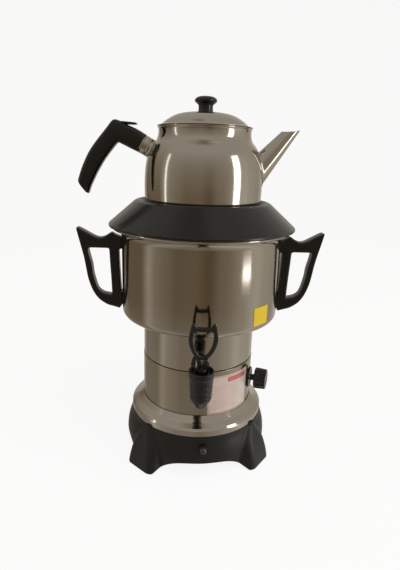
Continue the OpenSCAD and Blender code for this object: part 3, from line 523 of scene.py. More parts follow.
def make_rubbing(name):
    """Rubbed edges: the mark of a rounded edge, broken up by a noise."""
    g = Group(name, {"Edge": 0.0, "Amount": 0.5}, ("Mask",))
    broken = g.stretch(g.noise(g.source["Vector"], 160.0, 5.0), 0.4, 0.65)
    rubbed = g.math("MULTIPLY", broken, g.source["Edge"])
    g.link(g.math("MULTIPLY", rubbed, g.source["Amount"]), "Mask")
    return g.tree


# --- finishes -----------------------------------------------------------------------------------------


class Finish(Nodes):
    """A material being laid out: its tree, its Principled shader and its Object coordinates."""

    def __init__(self, name):
        self.material = bpy.data.materials.new(name)
        self.material.use_nodes = True
        super().__init__(self.material.node_tree)
        self.tree.nodes.clear()
        self.shader = self.node("ShaderNodeBsdfPrincipled")
        self.node("ShaderNodeOutputMaterial", {"Surface": self.shader.outputs[0]})
        self.place = self.node("ShaderNodeTexCoord").outputs["Object"]

    def group(self, name, maker, **values):
        """A shared effect with its own values in this material, made the first time it is asked for."""
        tree = bpy.data.node_groups.get(name) or maker(name)
        return self.node("ShaderNodeGroup", {"Vector": self.place, **values}, node_tree=tree).outputs

    def marks(self, size, amount):
        """Handling marks of a size and an amount."""
        return self.group("Handling marks", make_smudges, Size=size, Amount=amount)

    def skin(self, grain):
        """Moulded skin with a grain of this fineness."""
        return self.group("Moulded skin", make_moulding, Grain=grain)

    def edge(self):
        """Mark of the rounded edges."""
        return self.node("ShaderNodeAttribute", attribute_name="edge").outputs["Fac"]

    def rub(self, amount):
        """Mask of the rubbed edges."""
        return self.group("Rubbed edges", make_rubbing, Edge=self.edge(), Amount=amount)["Mask"]

    def set(self, **values):
        """Sets or links inputs of the shader, named with _ for a space."""
        for key, value in values.items():
            self.put(self.shader.inputs[key.replace("_", " ")], value)

    def add(self, a, b, scale):
        """a + b * scale as numbers."""
        return self.math("MULTIPLY_ADD", b, scale, a)

    def bump(self, height, strength, distance):
        """Normal from a height."""
        inputs = {"Height": height, "Strength": strength, "Distance": distance}
        return self.node("ShaderNodeBump", inputs).outputs[0]

    def band(self, value, low, high, soft):
        """1 where a value lies between low and high, with soft borders."""
        rise = self.stretch(value, low - soft, low + soft)
        return self.math("MULTIPLY", rise, self.stretch(value, high + soft, high - soft))

    def field(self, x, y, across, up):
        """1 inside a rectangle, given by its two limits across and its two limits up."""
        return self.math("MULTIPLY", self.band(x, *across, 0.003), self.band(y, *up, 0.004))


def rgba(c, scale=1.0):
    """A colour as four numbers, scaled."""
    return (c[0] * scale, c[1] * scale, c[2] * scale, 1.0)


def steel(name, tint, rough, across, along, contrast, bump, smudge):
    """Steel sheet: brushed lines vary its roughness and normal, handling marks dull it, spots darken it."""
    f = Finish(name)
    lines = f.group("Brushed lines", make_brushing, Across=across, Along=along, Contrast=contrast)
    marks = f.marks(22.0, smudge)
    streaked = f.mix(lines["Height"], rgba(tint, 0.93), rgba(tint, 1.06))
    dulled = f.mix(marks["Spots"], streaked, rgba(tint, 0.72))
    f.set(Base_Color=f.mix(f.rub(0.5), dulled, rgba(tint, 1.15)), Metallic=1.0)
    f.set(Roughness=f.add(f.add(rough, marks["Mask"], 0.13), lines["Lines"], 0.16))
    f.set(Normal=f.bump(lines["Height"], bump, 0.00006))
    return f.material


def moulded(name, tint, rough, grain, bump, wear, coat=0.0):
    """Moulded plastic: clouds vary the colour and gloss, a fine grain dents it, edges are rubbed paler."""
    f = Finish(name)
    skin, marks, rub = f.skin(grain), f.marks(34.0, 0.6), f.rub(wear)
    clouded = f.mix(skin["Clouds"], rgba(tint, 0.85), rgba(tint, 1.2))
    dusty = f.mix(marks["Spots"], clouded, rgba([c + 0.035 for c in tint]))
    f.set(Base_Color=f.mix(rub, dusty, rgba([c * 1.8 + 0.02 for c in tint])))
    f.set(Roughness=f.add(f.add(rough, marks["Mask"], 0.12), rub, 0.15))
    f.set(Normal=f.bump(skin["Height"], bump, 0.00008), Coat_Weight=coat, Coat_Roughness=0.12)
    return f.material


def plain_metal(name, tint, rough):
    """Small turned or stamped metal: clouds of tarnish and a fine tooling."""
    f = Finish(name)
    skin = f.skin(900.0)
    f.set(Base_Color=f.mix(f.marks(90.0, 0.7)["Mask"], rgba(tint), rgba(tint, 0.7)), Metallic=1.0)
    f.set(Roughness=f.add(rough, skin["Clouds"], 0.2), Normal=f.bump(skin["Height"], 0.15, 0.00004))
    return f.material


def matt_part(name, tint, rough):
    """Rubber, sleeving and inner mouldings: a dull skin with faint clouds."""
    f = Finish(name)
    skin = f.skin(1500.0)
    f.set(Base_Color=f.mix(skin["Clouds"], rgba(tint, 0.75), rgba(tint, 1.25)))
    f.set(Roughness=f.add(rough, skin["Clouds"], 0.15), Normal=f.bump(skin["Height"], 0.3, 0.0001))
    return f.material


def sticker_finish(name, tint):
    """Printed vinyl: an even gloss that is slightly dirtied towards its edges."""
    f = Finish(name)
    marks = f.marks(60.0, 0.5)["Mask"]
    f.set(Base_Color=f.mix(f.edge(), f.mix(marks, rgba(tint), rgba(tint, 0.86)), rgba(tint, 0.62)))
    f.set(Roughness=f.add(0.34, marks, 0.2))
    return f.material


def plate_finish(name, ground, ink):
    """Rating plate without lettering: a header field, a frame and a ruled table in red on a pale foil."""
    f = Finish(name)
    uv = f.node("ShaderNodeUVMap", uv_map="plate").outputs[0]
    x, y, _ = f.node("ShaderNodeSeparateXYZ", {0: uv}).outputs
    header = f.field(x, y, (0.42, 0.93), (0.8, 0.93))
    rows = 17.0
    rule = f.band(f.math("FRACT", f.math("MULTIPLY", y, rows)), 0.3, 0.62, 0.08)
    table = f.math("MULTIPLY", rule, f.field(x, y, (0.07, 0.66), (0.1, 0.74)))
    border = f.math("SUBTRACT", 1.0, f.field(x, y, (0.05, 0.95), (0.05, 0.95)))
    inked = header
    for mask, strength in ((table, 0.45), (border, 0.35)):
        inked = f.math("MAXIMUM", inked, f.math("MULTIPLY", mask, strength))
    marks = f.marks(40.0, 0.6)["Mask"]
    worn = f.mix(marks, rgba(ground), rgba(ground, 0.85))
    f.set(Base_Color=f.mix(inked, worn, rgba(ink)), Metallic=0.35, Roughness=f.add(0.3, marks, 0.2))
    return f.material


def lens_finish(name):
    """Dark indicator lens: a clear coat over a deep amber that is unlit."""
    f = Finish(name)
    f.set(Base_Color=f.mix(f.skin(600.0)["Clouds"], (0.012, 0.008, 0.006, 1), (0.03, 0.016, 0.01, 1)))
    f.set(Roughness=0.12, Coat_Weight=0.8, Coat_Roughness=0.04)
    return f.material


# --- operators ----------------------------------------------------------------------------------------


class SAMOVAR_OT_finishes(bpy.types.Operator):
    """Makes every finish and gives the frame's own nodes theirs"""

    bl_idname = "samovar.finishes"
    bl_label = "Finishes"

    def execute(self, context):
        c = context.scene.samovar_colours
        smudge, wear = c.smudge, c.wear
        # the frame's plain materials have the slots' names, which the finishes take over
        for material in list(bpy.data.materials):
            material.name = "plain_" + material.name
        made = (
            steel("tank_brushed", c.tank_steel, 0.11, 2600, 9, 0.3, 0.06, smudge * 0.5),
            steel("housing_satin", c.housing_steel, 0.16, 2000, 7, 0.3, 0.06, smudge * 0.7),
            steel("ring_polished", c.mirror_steel, 0.09, 1500, 5, 0.12, 0.05, smudge * 0.4),
            steel("teapot_polished", c.mirror_steel, 0.1, 1500, 5, 0.15, 0.06, smudge * 0.5),
            moulded("dark_plastic", c.base_plastic, 0.42, 1300, 0.35, wear * 0.5),
            moulded("black_bakelite", c.bakelite, 0.26, 700, 0.06, wear * 0.6, 0.25),
            matt_part("rubber", c.rubber, 0.7),
            plain_metal("galvanised", (0.42, 0.43, 0.44), 0.38),
            plain_metal("steel", (0.58, 0.57, 0.55), 0.24),
            plain_metal("spring_steel", (0.5, 0.5, 0.5), 0.2),
            plain_metal("brass_plated", (0.6, 0.45, 0.2), 0.28),
            plain_metal("copper_capillary", (0.6, 0.32, 0.2), 0.3),
            plain_metal("element_sheath", (0.25, 0.22, 0.2), 0.42),
            matt_part("ivory_block", (0.62, 0.58, 0.46), 0.45),
            matt_part("thermostat_case", (0.5, 0.46, 0.38), 0.45),
            matt_part("sleeved_wire", (0.3, 0.02, 0.015), 0.4),
            sticker_finish("label_yellow", c.sticker),
            plate_finish("label_printed", c.plate, c.plate_ink),
            lens_finish("amber_lens"),
        )
        made = {material.name: material for material in made}
        slots = {row["node"]: row["material_slot"] for row in frame["record"]["subparts"]}
        for node, piece in frame["nodes"].items():
            piece.data.materials.clear()
            piece.data.materials.append(made[slots[node]])
        return {"FINISHED"}


def leg_outline(phi, half, reach, corner):
    """Distance from the axis to a leg's outline at the angle phi off the leg's middle.

    The outline is a rectangle of that half width and reach whose outer corners are rounded: a ray meets its
    face at reach / cos, its side at half / sin, and in between the corner's circle, found by its quadratic.
    """
    s, c = np.abs(np.sin(phi)), np.cos(phi)
    face = reach / c
    side = half / np.maximum(s, 1e-6)
    cx, cy = half - corner, reach - corner
    along, across = cx * s + cy * c, cx * c - cy * s
    inside = corner**2 - across**2
    arc = np.where(inside > 0, along + np.sqrt(np.maximum(inside, 0)), 0)
    return np.where(face * s <= cx, face, np.where(side * c <= cy, side, arc))


class SAMOVAR_OT_base(bpy.types.Operator):
    """Base: a bell whose radius is blended with four splayed legs, hollow over its bottom plate"""

    bl_idname = "samovar.base"
    bl_label = "Base"

    def execute(self, context):
        b = context.scene.samovar_base
        slices, rows = 1080, 46
        az = np.arange(slices) * TURN / slices
        az_off = az - b.turn
        legs = np.array([1, -1, 1, -1]) * b.leg_azimuth + np.array([0, 0, 1, 1]) * math.pi
        off = (az_off[None] - legs[:, None] + math.pi) % TURN - math.pi
        phi = off[np.abs(off).argmin(0), np.arange(slices)]
        # arches: open to the front and the back, and a little narrower to the sides
        front = np.abs((az_off + math.pi / 2) % math.pi - math.pi / 2) / math.radians(36)
        flank = np.abs(az_off % math.pi - math.pi / 2) / math.radians(31)
        free = np.clip(1 - np.minimum(front, flank) ** 3.6, 0, 1)
        low = b.sole + (b.arch - b.sole) * free

        # the bell's profile: its radius at each height, from its foot to its upper edge
        levels = np.array([0, 15, 25, 33, 40, 46, 52, 57, 60]) * MM
        radii = np.array([104.2, 104.7, 104.6, 104.0, 102.6, 100.7, 98.6, 97.7, 97.3]) * MM
        fine = smooth_line(np.stack([levels, radii], 1), 8)

        def bell(z):
            """The bell's radius at the height z: straight lines between the fine points of its profile."""
            return np.interp(z, fine[:, 0], fine[:, 1])

        # legs: they lean in and round off under the bell's upper edge
        t = np.linspace(0, 1, rows)[:, None]
        z = low + (b.height - low) * t
        s = np.clip((z - b.sole) / (57 * MM - b.sole), 0, 1)
        reach = b.leg_reach - 18 * MM * s**1.6
        crown = np.sqrt(np.clip(1 - (np.clip(s - 0.45, 0, 1) / 0.57) ** 2, 0.02, 1))
        half = (b.leg_half - 3 * MM * s) * crown
        corner = np.minimum((12 + 6 * s) * MM, half * 0.95)
        leg = leg_outline(phi[None], half, reach, corner)
        body = bell(z)
        soft = 1.6 * MM
        r = (body + leg + np.sqrt((body - leg) ** 2 + soft**2)) / 2
        r = np.where(leg < body - 12 * MM, body, r - 0.15 * soft)

        # inside: over the seat of the ring, down the back of the bell, and along the soles
        top = b.height / MM
        inner = [(top, 97.3), (top, 96), (top + 4, 95.9), (top + 4, 36), (top + 1, 36), (top + 1, 91)]
        inner += [(level, bell(level * MM) / MM - 3) for level in (56, 50, 44, 38, 33, 29, 27.5)]
        inner += [(27.5, 84.3), (25, 84.3)]
        inner_z, inner_r = (column[:, None] * MM + 0 * az for column in np.array(inner).T)
        under = 1 - np.clip((np.abs(phi) - math.radians(13.2)) / math.radians(2.2), 0, 1)
        under = under * under * (3 - 2 * under)
        inside = 100.2 * MM + (86 * MM / np.cos(phi) - 100.2 * MM) * under
        flange_z = np.maximum(25 * MM, low)
        rows_r = np.vstack([r, inner_r, inside[None], inside[None]])
        rows_z = np.vstack([z, inner_z, flange_z[None], low[None]])
        grid = np.stack([rows_r * np.sin(az), -rows_r * np.cos(az), rows_z], 2)
        marks = np.zeros(len(grid))
        marks[0] = 1
        add_piece("base_bell", [Shell(grid, mark=marks)], "samovar", "dark_plastic", "base_moulding")

        out = np.array([math.sin(b.turn), -math.cos(b.turn), 0])
        at = np.array([0, 0, b.lamp_height])
        bezel = placed(spun([(5.5, 90, 0), (7, 90, 0), (7, 104.5, 1.1), (5.6, 104.5, 0.5)], 64), at, out)
        add_piece("indicator_ring", [bezel], "samovar", "black_bakelite", "indicator_bezel")
        dome = smooth_line([(5.4, 103.6), (5.4, 104.8), (4.3, 107.2), (2.2, 109.2), (0, 109.3)], 8)
        lens = placed(domed(np.vstack([[(0, 89.5), (5.4, 89.5)], dome]), None, 64), at, out)
        add_piece("indicator_dome", [lens], "samovar", "amber_lens", "indicator_lens")
        return {"FINISHED"}


class SAMOVAR_OT_housing(bpy.types.Operator):
    """Polished ring, heater housing and its plate: turned sheets and a patch of a cylinder"""

    bl_idname = "samovar.housing"
    bl_label = "Housing"

    def execute(self, context):
        b = context.scene.samovar_base
        r, low, high = b.ring_radius / MM, b.height / MM, (b.height + b.ring_height) / MM
        wall, top = b.housing_radius / MM, b.housing_top / MM
        ring = spun([
            (r, low + 0.1, 0.3), (r, low + 7.6, 1.2), (r - 2.4, low + 10.6, 2.0), (r - 9.6, low + 15.6, 14),
            (wall + 1, high, 0.3), (wall + 0.2, high, 0.3), (r - 10.2, low + 14.9, 14),
            (r - 3.2, low + 9.8, 1.5), (r - 0.8, low + 7.2, 0.6), (r - 0.8, low + 0.1, 0.3),
        ], 288, steps=8)
        add_piece("polished_ring", [ring], "samovar", "ring_polished", "base_ring")
        body = spun([
            (wall, 64, 0.2), (wall, top - 2.2, 0), (wall, top, 1.0), (wall - 0.8, top, 0.2),
            (wall - 0.8, 64, 0.2),
        ], 256)
        add_piece("housing_wall", [body], "samovar", "housing_satin", "heater_housing")
        limits = (math.radians(8.5), math.radians(58), high * MM, (high + 57) * MM)
        plate = cylinder_patch((wall + 0.05) * MM, 0.2 * MM, *limits, 1.2 * MM)
        piece = add_piece("rating_plate", [plate], "samovar", "label_printed", "rating_label")
        map_patch(piece, *limits)
        return {"FINISHED"}


def cylinder_patch(radius, thick, a0, a1, z0, z1, corner, columns=90, rows=60):
    """Thin patch of a cylinder with rounded corners, as a closed grid.

    The front is a rectangle in azimuth and height whose corners are pulled in: near an end of the height the
    half width is shortened by corner less the circle's root. The back is the same grid on the smaller radius.
    """
    u = np.linspace(-1, 1, columns)
    v = (1 - np.cos(np.linspace(0, math.pi, rows))) / 2
    height = z1 - z0
    to_end = np.minimum(v, 1 - v) * height
    cut = np.where(to_end < corner, corner - np.sqrt(np.maximum(corner**2 - (corner - to_end) ** 2, 0)), 0)
    half = (a1 - a0) / 2 - cut / radius
    a = (a0 + a1) / 2 + u[None] * half[:, None]
    z = z0 + v[:, None] * height + 0 * a
    front = np.stack([(radius + thick) * np.sin(a), -(radius + thick) * np.cos(a), z], 2)
    back = np.stack([radius * np.sin(a), -radius * np.cos(a), z], 2)
    ring = np.concatenate([front, back[:, ::-1]], 1)
    middle = (front + back) / 2
    ends = [np.concatenate([middle[k], middle[k][::-1]], 0)[None] for k in (0, -1)]
    grid = np.concatenate([ends[0], ring, ends[1]], 0)
    mark = np.zeros((rows, columns))
    mark[:2] = mark[-2:] = mark[:, :1] = mark[:, -1:] = 1
    mark = np.concatenate([mark, mark[:, ::-1]], 1)
    mark = np.concatenate([mark[:1], mark, mark[-1:]], 0)
    return Shell(grid, (False, True), mark=mark)


def map_patch(piece, a0, a1, z0, z1):
    """UV map of a patch: azimuth across and height up, both from 0 to 1."""
    mesh = piece.data
    co = np.empty(len(mesh.vertices) * 3)
    mesh.vertices.foreach_get("co", co)
    co = co.reshape(-1, 3)
    u = (np.arctan2(co[:, 0], -co[:, 1]) - a0) / (a1 - a0)
    v = (co[:, 2] - z0) / (z1 - z0)
    corner = np.empty(len(mesh.loops), np.int32)
    mesh.loops.foreach_get("vertex_index", corner)
    layer = mesh.uv_layers.new(name="plate")
    layer.data.foreach_set("uv", np.stack([u[corner], v[corner]], 1).astype(np.float32).ravel())


class SAMOVAR_OT_tank(bpy.types.Operator):
    """Tank: a turned sheet with a rolled rim, and its plain sticker"""

    bl_idname = "samovar.tank"
    bl_label = "Tank"

    def execute(self, context):
        t = context.scene.samovar_tank
        R, n, sh = t.radius / MM, t.neck / MM, t.shoulder / MM
        shoulder = smooth_line([
            (n, sh - 1.5), (n, sh), (n + 1.5, sh + 3), ((n + R) / 2 + 5, sh + 8), (R, sh + 13.5),
            (R, t.wall / MM),
        ], 12)
        rim, flare = t.rim / MM, t.flare / MM
        lip = smooth_line([(R, flare), (R + 0.6, flare + 6), (R + 7.4, rim - 3.6)], 10)
        roll = rolled_edge((R + 10.0, rim - 2.0), 2.0, -148, 150, 22)
        outer = np.vstack([[(n, t.bottom / MM), (n, t.bottom / MM + 1)], shoulder, [(R, flare - 30)], lip])
        inner = offset_line(outer, t.sheet / MM)[::-1]
        line = np.vstack([outer, roll, inner])
        mark = np.zeros(len(line))
        mark[len(outer):len(outer) + len(roll)] = 0.6
        wall = turned(line * MM, mark, 320)
        add_piece("tank_wall", [wall], "samovar", "tank_brushed", "tank_shell")
        sticker = cylinder_patch((R + 0.05) * MM, 0.2 * MM, math.radians(36.5), math.radians(51.5),
                                 t.wall + 0.3 * MM, t.wall + 24.8 * MM, 1.5 * MM, 40, 40)
        add_piece("plain_sticker", [sticker], "samovar", "label_yellow", "caution_label")
        return {"FINISHED"}


class SAMOVAR_OT_side_handles(bpy.types.Operator):
    """Side handles: a rounded section carried round between the outline and the finger hole"""

    bl_idname = "samovar.side_handles"
    bl_label = "Side handles"

    def execute(self, context):
        t = context.scene.samovar_tank
        lo, hi, out = t.wall / MM - 2, t.flare / MM, t.handle_reach / MM
        # each outline point stands beside its partner on the finger hole
        outer = [
            (-0.4, lo + 3.5), (-0.4, lo + 3.5), (4.5, lo - 3.5), (4.5, lo - 3.5), (12, lo - 1.2),
            (20, lo + 0.6), (27, lo + 4.5), (33, lo + 9), (38, lo + 15), (42, lo + 22), (45.5, lo + 31),
            (48.5, lo + 42), (50.3, hi - 48), (out - 9.6, hi - 34), (out - 6, hi - 18), (out - 1, hi + 3),
            (out, hi + 8.5), (out - 3, hi + 8), (out - 16, hi + 1), (36, hi - 4.5), (28, hi - 5.5),
            (20, hi - 1.5), (14.5, hi + 3), (10, hi - 0.5), (-0.4, hi - 4), (-0.4, hi - 4),
            (-0.4, hi - 19.5), (-0.4, hi - 19.5), (4.5, hi - 19.5), (4.5, hi - 19.5), (4.3, hi - 37),
            (3.5, lo + 46), (2.5, lo + 26), (2.2, lo + 21), (2.2, lo + 21), (-0.4, lo + 21), (-0.4, lo + 21),
        ]
        hole = [
            (15.2, lo + 18.5), (15.2, lo + 17.9), (15.7, lo + 17.1), (16.5, lo + 16.8), (18.5, lo + 16.5),
            (22, lo + 17), (26.5, lo + 18), (30, lo + 19.8), (33, lo + 22), (35, lo + 25), (37, lo + 30),
            (38.8, lo + 37), (41.4, hi - 55), (41.9, hi - 44), (45.4, hi - 31), (46.9, hi - 23.5),
            (46, hi - 20), (43.6, hi - 19.5), (40, hi - 19.5), (35, hi - 19.5), (29, hi - 19.5),
            (24.5, hi - 19.5), (21.5, hi - 19.5), (19.6, hi - 19.6), (18.4, hi - 20.2), (17.8, hi - 21),
            (17.6, hi - 22.5), (17.5, hi - 24), (17.4, hi - 26), (17.3, hi - 28), (17, hi - 38),
            (15.9, lo + 46), (15.2, lo + 27), (15.1, lo + 23.5), (15, lo + 22), (14.9, lo + 20.8),
            (15, lo + 19.6),
        ]
        outer, hole = (smooth_line(line, 7, True) for line in (outer, hole))
        grid, mark = loop_plate(outer, hole, t.handle_thick / MM / 2, 2.2)
        for side, name in ((-1, "left"), (1, "right")):
            x = side * (grid[:, :, 0] + t.radius / MM)
            place = np.stack([x, grid[:, :, 2], grid[:, :, 1]], 2) * MM
            # the pads' back follows the tank's wall
            wall = np.sqrt(np.maximum(t.radius**2 - place[:, :, 1] ** 2, 0))
            place[:, :, 0] = side * np.maximum(side * place[:, :, 0], wall)
            shells = [Shell(place, mark=mark)]
            add_piece(f"{name}_side_handle", shells, "samovar", "black_bakelite", f"{name}_handle")
        return {"FINISHED"}


class SAMOVAR_OT_cover(bpy.types.Operator):
    """Cover: a turned black moulding with a conical skirt, a flat crown and the teapot's well"""

    bl_idname = "samovar.cover"
    bl_label = "Cover"

    def execute(self, context):
        t = context.scene.samovar_tank
        R, z0 = t.cover_radius / MM, t.cover_base / MM
        top = z0 + t.cover_height / MM
        moulding = spun([
            (R, z0, 0.5), (R, z0 + 2.6, 1.6), (92.6, top - 1.8, 4), (89, top, 2.4), (85.6, top, 2),
            (82.6, top - 4.6, 1.6), (82, top - 10.5, 0.5), (56, top - 10.5, 0.7), (56, top - 13, 0.7),
            (80, top - 13, 1), (84.6, top - 2.5, 1), (90.2, top - 2.6, 1), (106, top - 16.6, 0.5),
            (106, 311, 0.7), (108, 311, 0.7), (108, top - 18.4, 0.5), (115, top - 24.8, 0.5), (115, z0, 0.5),
        ], 320, steps=7)
        add_piece("cover_moulding", [moulding], "cover", "black_bakelite", "cover_shell")
        return {"FINISHED"}


def teapot_line(p):
    """Outer line of the teapot's body, from the middle of its bottom up to its mouth, in millimetres."""
    r, z, m, top = p.radius / MM, p.bottom / MM, p.mouth / MM, (p.bottom + p.height) / MM
    return smooth_line([
        (0, z), (r - 18, z), (r - 0.6, z), (r + 0.3, z + 14), (r + 0.6, z + 36), (r - 1.3, z + 60),
        (m + 10, top - 25.5), (m - 1.5, top - 13.5), (m, top),
    ], 14)


class Tube:
    """A straight tube that leaves the teapot's body, with unit vectors round it at the angles phi."""

    def __init__(self, side, tilt, out, up, phi):
        """It runs towards +X where side is 1 and -X where it is -1, from out and up in millimetres."""
        self.origin = np.array([side * out, 0, up])
        self.way = np.array([side * math.cos(tilt), 0, math.sin(tilt)])
        e1, e2 = np.array([-side * math.sin(tilt), 0, math.cos(tilt)]), np.array([0, 1.0, 0])
        self.ring = np.cos(phi)[:, None] * e1 + np.sin(phi)[:, None] * e2

    def points(self, s, radius):
        """Points at the distances s along the tube and at these radii."""
        return self.origin + self.way * s[..., None] + self.ring * radius[..., None]

    def leaves(self, radius, line, start, stop):
        """Where the tube leaves the body's line: the distance along it, for each angle round it.

        Each of its lines is halved forty times between start and stop, keeping the half in which its distance
        from the axis passes the body's radius at its height.
        """
        lo, hi = (np.full(len(self.ring), float(end)) for end in (start, stop))
        for _ in range(40):
            mid = (lo + hi) / 2
            p = self.points(mid, radius(mid))
            beyond = np.hypot(p[:, 0], p[:, 1]) > np.interp(p[:, 2], line[:, 1], line[:, 0])
            hi = np.where(beyond, mid, hi)
            lo = np.where(beyond, lo, mid)
        return (lo + hi) / 2


def grip_bar(upper, lower, fine, widths, radii, steps):
    """Bar of the teapot's handle between two lines of (distance from the axis, z), on the -X side.

    widths and radii are tables of half widths and corner radii over the share of the bar's length.
    """
    tops, bottoms = (smooth_line(np.array(line) * (-1, 1), fine) for line in (upper, lower))
    along = np.linspace(0, 1, len(tops))
    half, corner = (np.interp(along, *zip(*table)) for table in (widths, radii))
    return swept_bar(tops, bottoms, half, corner, steps)


class SAMOVAR_OT_teapot(bpy.types.Operator):
    """Teapot: turned body and lid, a coned spout, a ferrule and a swept grip"""

    bl_idname = "samovar.teapot"
    bl_label = "Teapot"

    def execute(self, context):
        p = context.scene.samovar_teapot
        outer = teapot_line(p)
        m, top = p.mouth / MM, (p.bottom + p.height) / MM
        roll = rolled_edge((m + 0.1, top - 0.85), 0.85, -70, 160, 14)
        inner = offset_line(outer[:-1], 1.0)[::-1]
        inner[-1, 0] = 0
        line = np.vstack([outer[:-2], roll, inner[1:]])
        mark = np.zeros(len(line))
        mark[len(outer) - 2:len(outer) - 2 + len(roll)] = 1
        add_piece("teapot_shell", [domed(line, mark, 288)], "teapot", "teapot_polished", "teapot_body")
        wall = outer[outer[:, 1] > p.bottom / MM + 0.01] + np.array([-0.3, 0])

        # spout: a cone from the body's wall to a lip that rises to its tip
        phi = np.arange(128) * TURN / 128
        tube = Tube(1, p.spout_tilt, p.radius / MM - 3.9, p.bottom / MM + 54.5, phi)
        root, tip, run = p.spout_root / MM, p.spout_tip / MM, p.spout_length / MM
        slope = (root - tip) / run

        def cone(s):
            """The spout's radius at the distance s along its axis: it falls evenly from root to tip."""
            return root - slope * s

        first = tube.leaves(cone, wall, -20, 40)
        back = (1 - np.cos(phi)) / 2
        lip = top - 2.0 + 2.3 * back**2 + 0.7 * (1 - back) ** 4
        lift = tube.ring[:, 2]
        last = (lip - tube.origin[2] - root * lift) / (tube.way[2] - slope * lift)
        t = np.concatenate([[0, 0.015, 0.035, 0.06], np.linspace(0.1, 0.985, 24), [1.0]])[:, None]
        s = first + (last - first) * t
        outside = tube.points(s, cone(s) + 1.5 * np.exp(-(s - first) / 1.3))
        edge_row = tube.points(last + 0.35, cone(last) - 0.5)
        grid = np.concatenate([outside, edge_row[None], tube.points(s[::-1], cone(s[::-1]) - 1.0)])
        mark = np.zeros(len(grid))
        mark[:3] = mark[len(t) - 1:len(t) + 2] = 1
        add_piece("spout_cone", [Shell(grid * MM, mark=mark)], "teapot", "teapot_polished", "teapot_spout")

        # ferrule: a sleeve with a rolled end, a bead and a groove, from the body's wall to the grip
        tube = Tube(-1, p.ferrule_tilt, p.radius / MM - 11, p.bottom / MM + 73.5, phi)
        r, end = p.ferrule_radius / MM, 17.0
        first = tube.leaves(lambda s: r + 0 * s, wall, -12, 16)
        t = np.linspace(0, 1, 60)[:, None]
        s = first + (end - first) * t
        sleeve = r - 0.1 + 0.9 * np.exp(-(s - first) / 0.8)
        for height, from_end, width in ((0.35, 1.0, 0.55), (0.3, 9.5, 0.5), (-0.35, 8.2, 0.35)):
            sleeve = sleeve + height * np.exp(-((end - s - from_end) / width) ** 2)
        grid = np.concatenate([tube.points(s, sleeve), tube.points(s[::-1], r - 1.2 + 0 * s)])
        mark = np.zeros(len(grid))
        mark[len(t) - 4:len(t) + 1] = 1
        shells = [Shell(grid * MM, mark=mark)]
        add_piece("grip_ferrule", shells, "teapot", "teapot_polished", "teapot_ferrule")

        # grip: stations of its outline, from the ferrule's end over the thumb rest and down to the tip
        half = p.grip_width / MM / 2
        grip = grip_bar(
            [
                (76.6, 448.2), (82.5, 451.6), (88.5, 454.8), (94.5, 457.2), (99, 458.8), (103, 461.2),
                (109, 463.8), (117.0, 466.0), (121.0, 463.6), (127.5, 455), (138.5, 442), (150.5, 426.5),
                (160, 407.5), (165.6, 392), (167.2, 386.4), (163.2, 379.5), (157.5, 373.2),
            ],
            [
                (87.4, 426.0), (91, 427.8), (94.5, 429.3), (98, 430.8), (102, 432.8), (106, 434.6),
                (110, 436.4), (113.2, 437.6), (115.2, 435.6), (119, 431), (125.5, 423), (133.2, 412.4),
                (142, 397.5), (148.8, 383.6), (150.6, 379.8), (152, 375.6), (153.6, 371.2),
            ],
            8, ((0, half), (0.4, half), (0.55, half - 0.4), (0.9, half - 1.4), (1, half - 3.5)),
            ((0, 8.5), (0.06, 6.5), (0.2, 5.5), (0.5, 5.5), (0.9, 5), (1, 2.5)), 7,
        )
        # thumb rest: a tongue over the grip's end, with a slot below it
        tongue = grip_bar(
            [(108, 463.4), (103, 463.2), (98, 462.9), (93.5, 462.6), (90.2, 462.4), (88.6, 461.9)],
            [(108, 460.6), (103, 460.2), (98, 460.3), (93.5, 460.0), (90.2, 460.2), (88.3, 461.0)],
            6, ((0, half - 0.6), (0.5, half - 0.8), (0.85, half - 2), (1, half - 4.5)), ((0, 1.2),), 5,
        )
        add_piece("teapot_grip", [grip, tongue], "teapot", "black_bakelite", "teapot_handle")

        # lid: a dome with a flat rim, and its knob
        rim = top + 0.3
        dome = smooth_line([
            (m + 1.3, rim + 0.8), (m - 3, rim + 0.8), (m - 10, rim + 8), (m - 26, rim + p.dome / MM - 2),
            (12, rim + p.dome / MM), (0, rim + p.dome / MM),
        ], 14)
        roll = rolled_edge((m + 1.1, rim + 0.42), 0.42, -90, 80, 9)
        under = offset_line(dome, 0.8)
        under = under[under[:, 0] < m - 3.2]
        under[-1, 0] = 0
        inside = np.array([
            (m - 1.5, rim), (m - 1.5, rim - 5.8), (m - 1.8, rim - 6.0), (m - 2.4, rim - 6.0),
            (m - 2.5, rim - 5.8), (m - 2.6, rim - 0.2),
        ])
        line = np.vstack([dome[::-1][:-1], roll[::-1], inside, under])
        mark = np.zeros(len(line))
        mark[len(dome) - 1:len(dome) - 1 + len(roll)] = 1
        add_piece("lid_dome", [domed(line, mark, 256)], "lid", "teapot_polished", "teapot_lid")
        k, z = p.knob / MM, rim + p.dome / MM
        body = smooth_line([
            (10, z + 0.1), (10, z + 0.9), (9.5, z + 2), (9.3, z + 5), (9.4, z + 8.6), (k - 3, z + 10.8),
            (k - 0.5, z + 12.4), (k, z + 14.6), (k - 1.4, z + 17), (k - 5, z + 18.9), (5, z + 19.4),
            (0, z + 19.4),
        ], 8)
        line = np.vstack([[(0, z + 0.02), (9.7, z + 0.02)], body])
        add_piece("lid_button", [domed(line, None, 128)], "lid", "black_bakelite", "lid_knob")
        return {"FINISHED"}


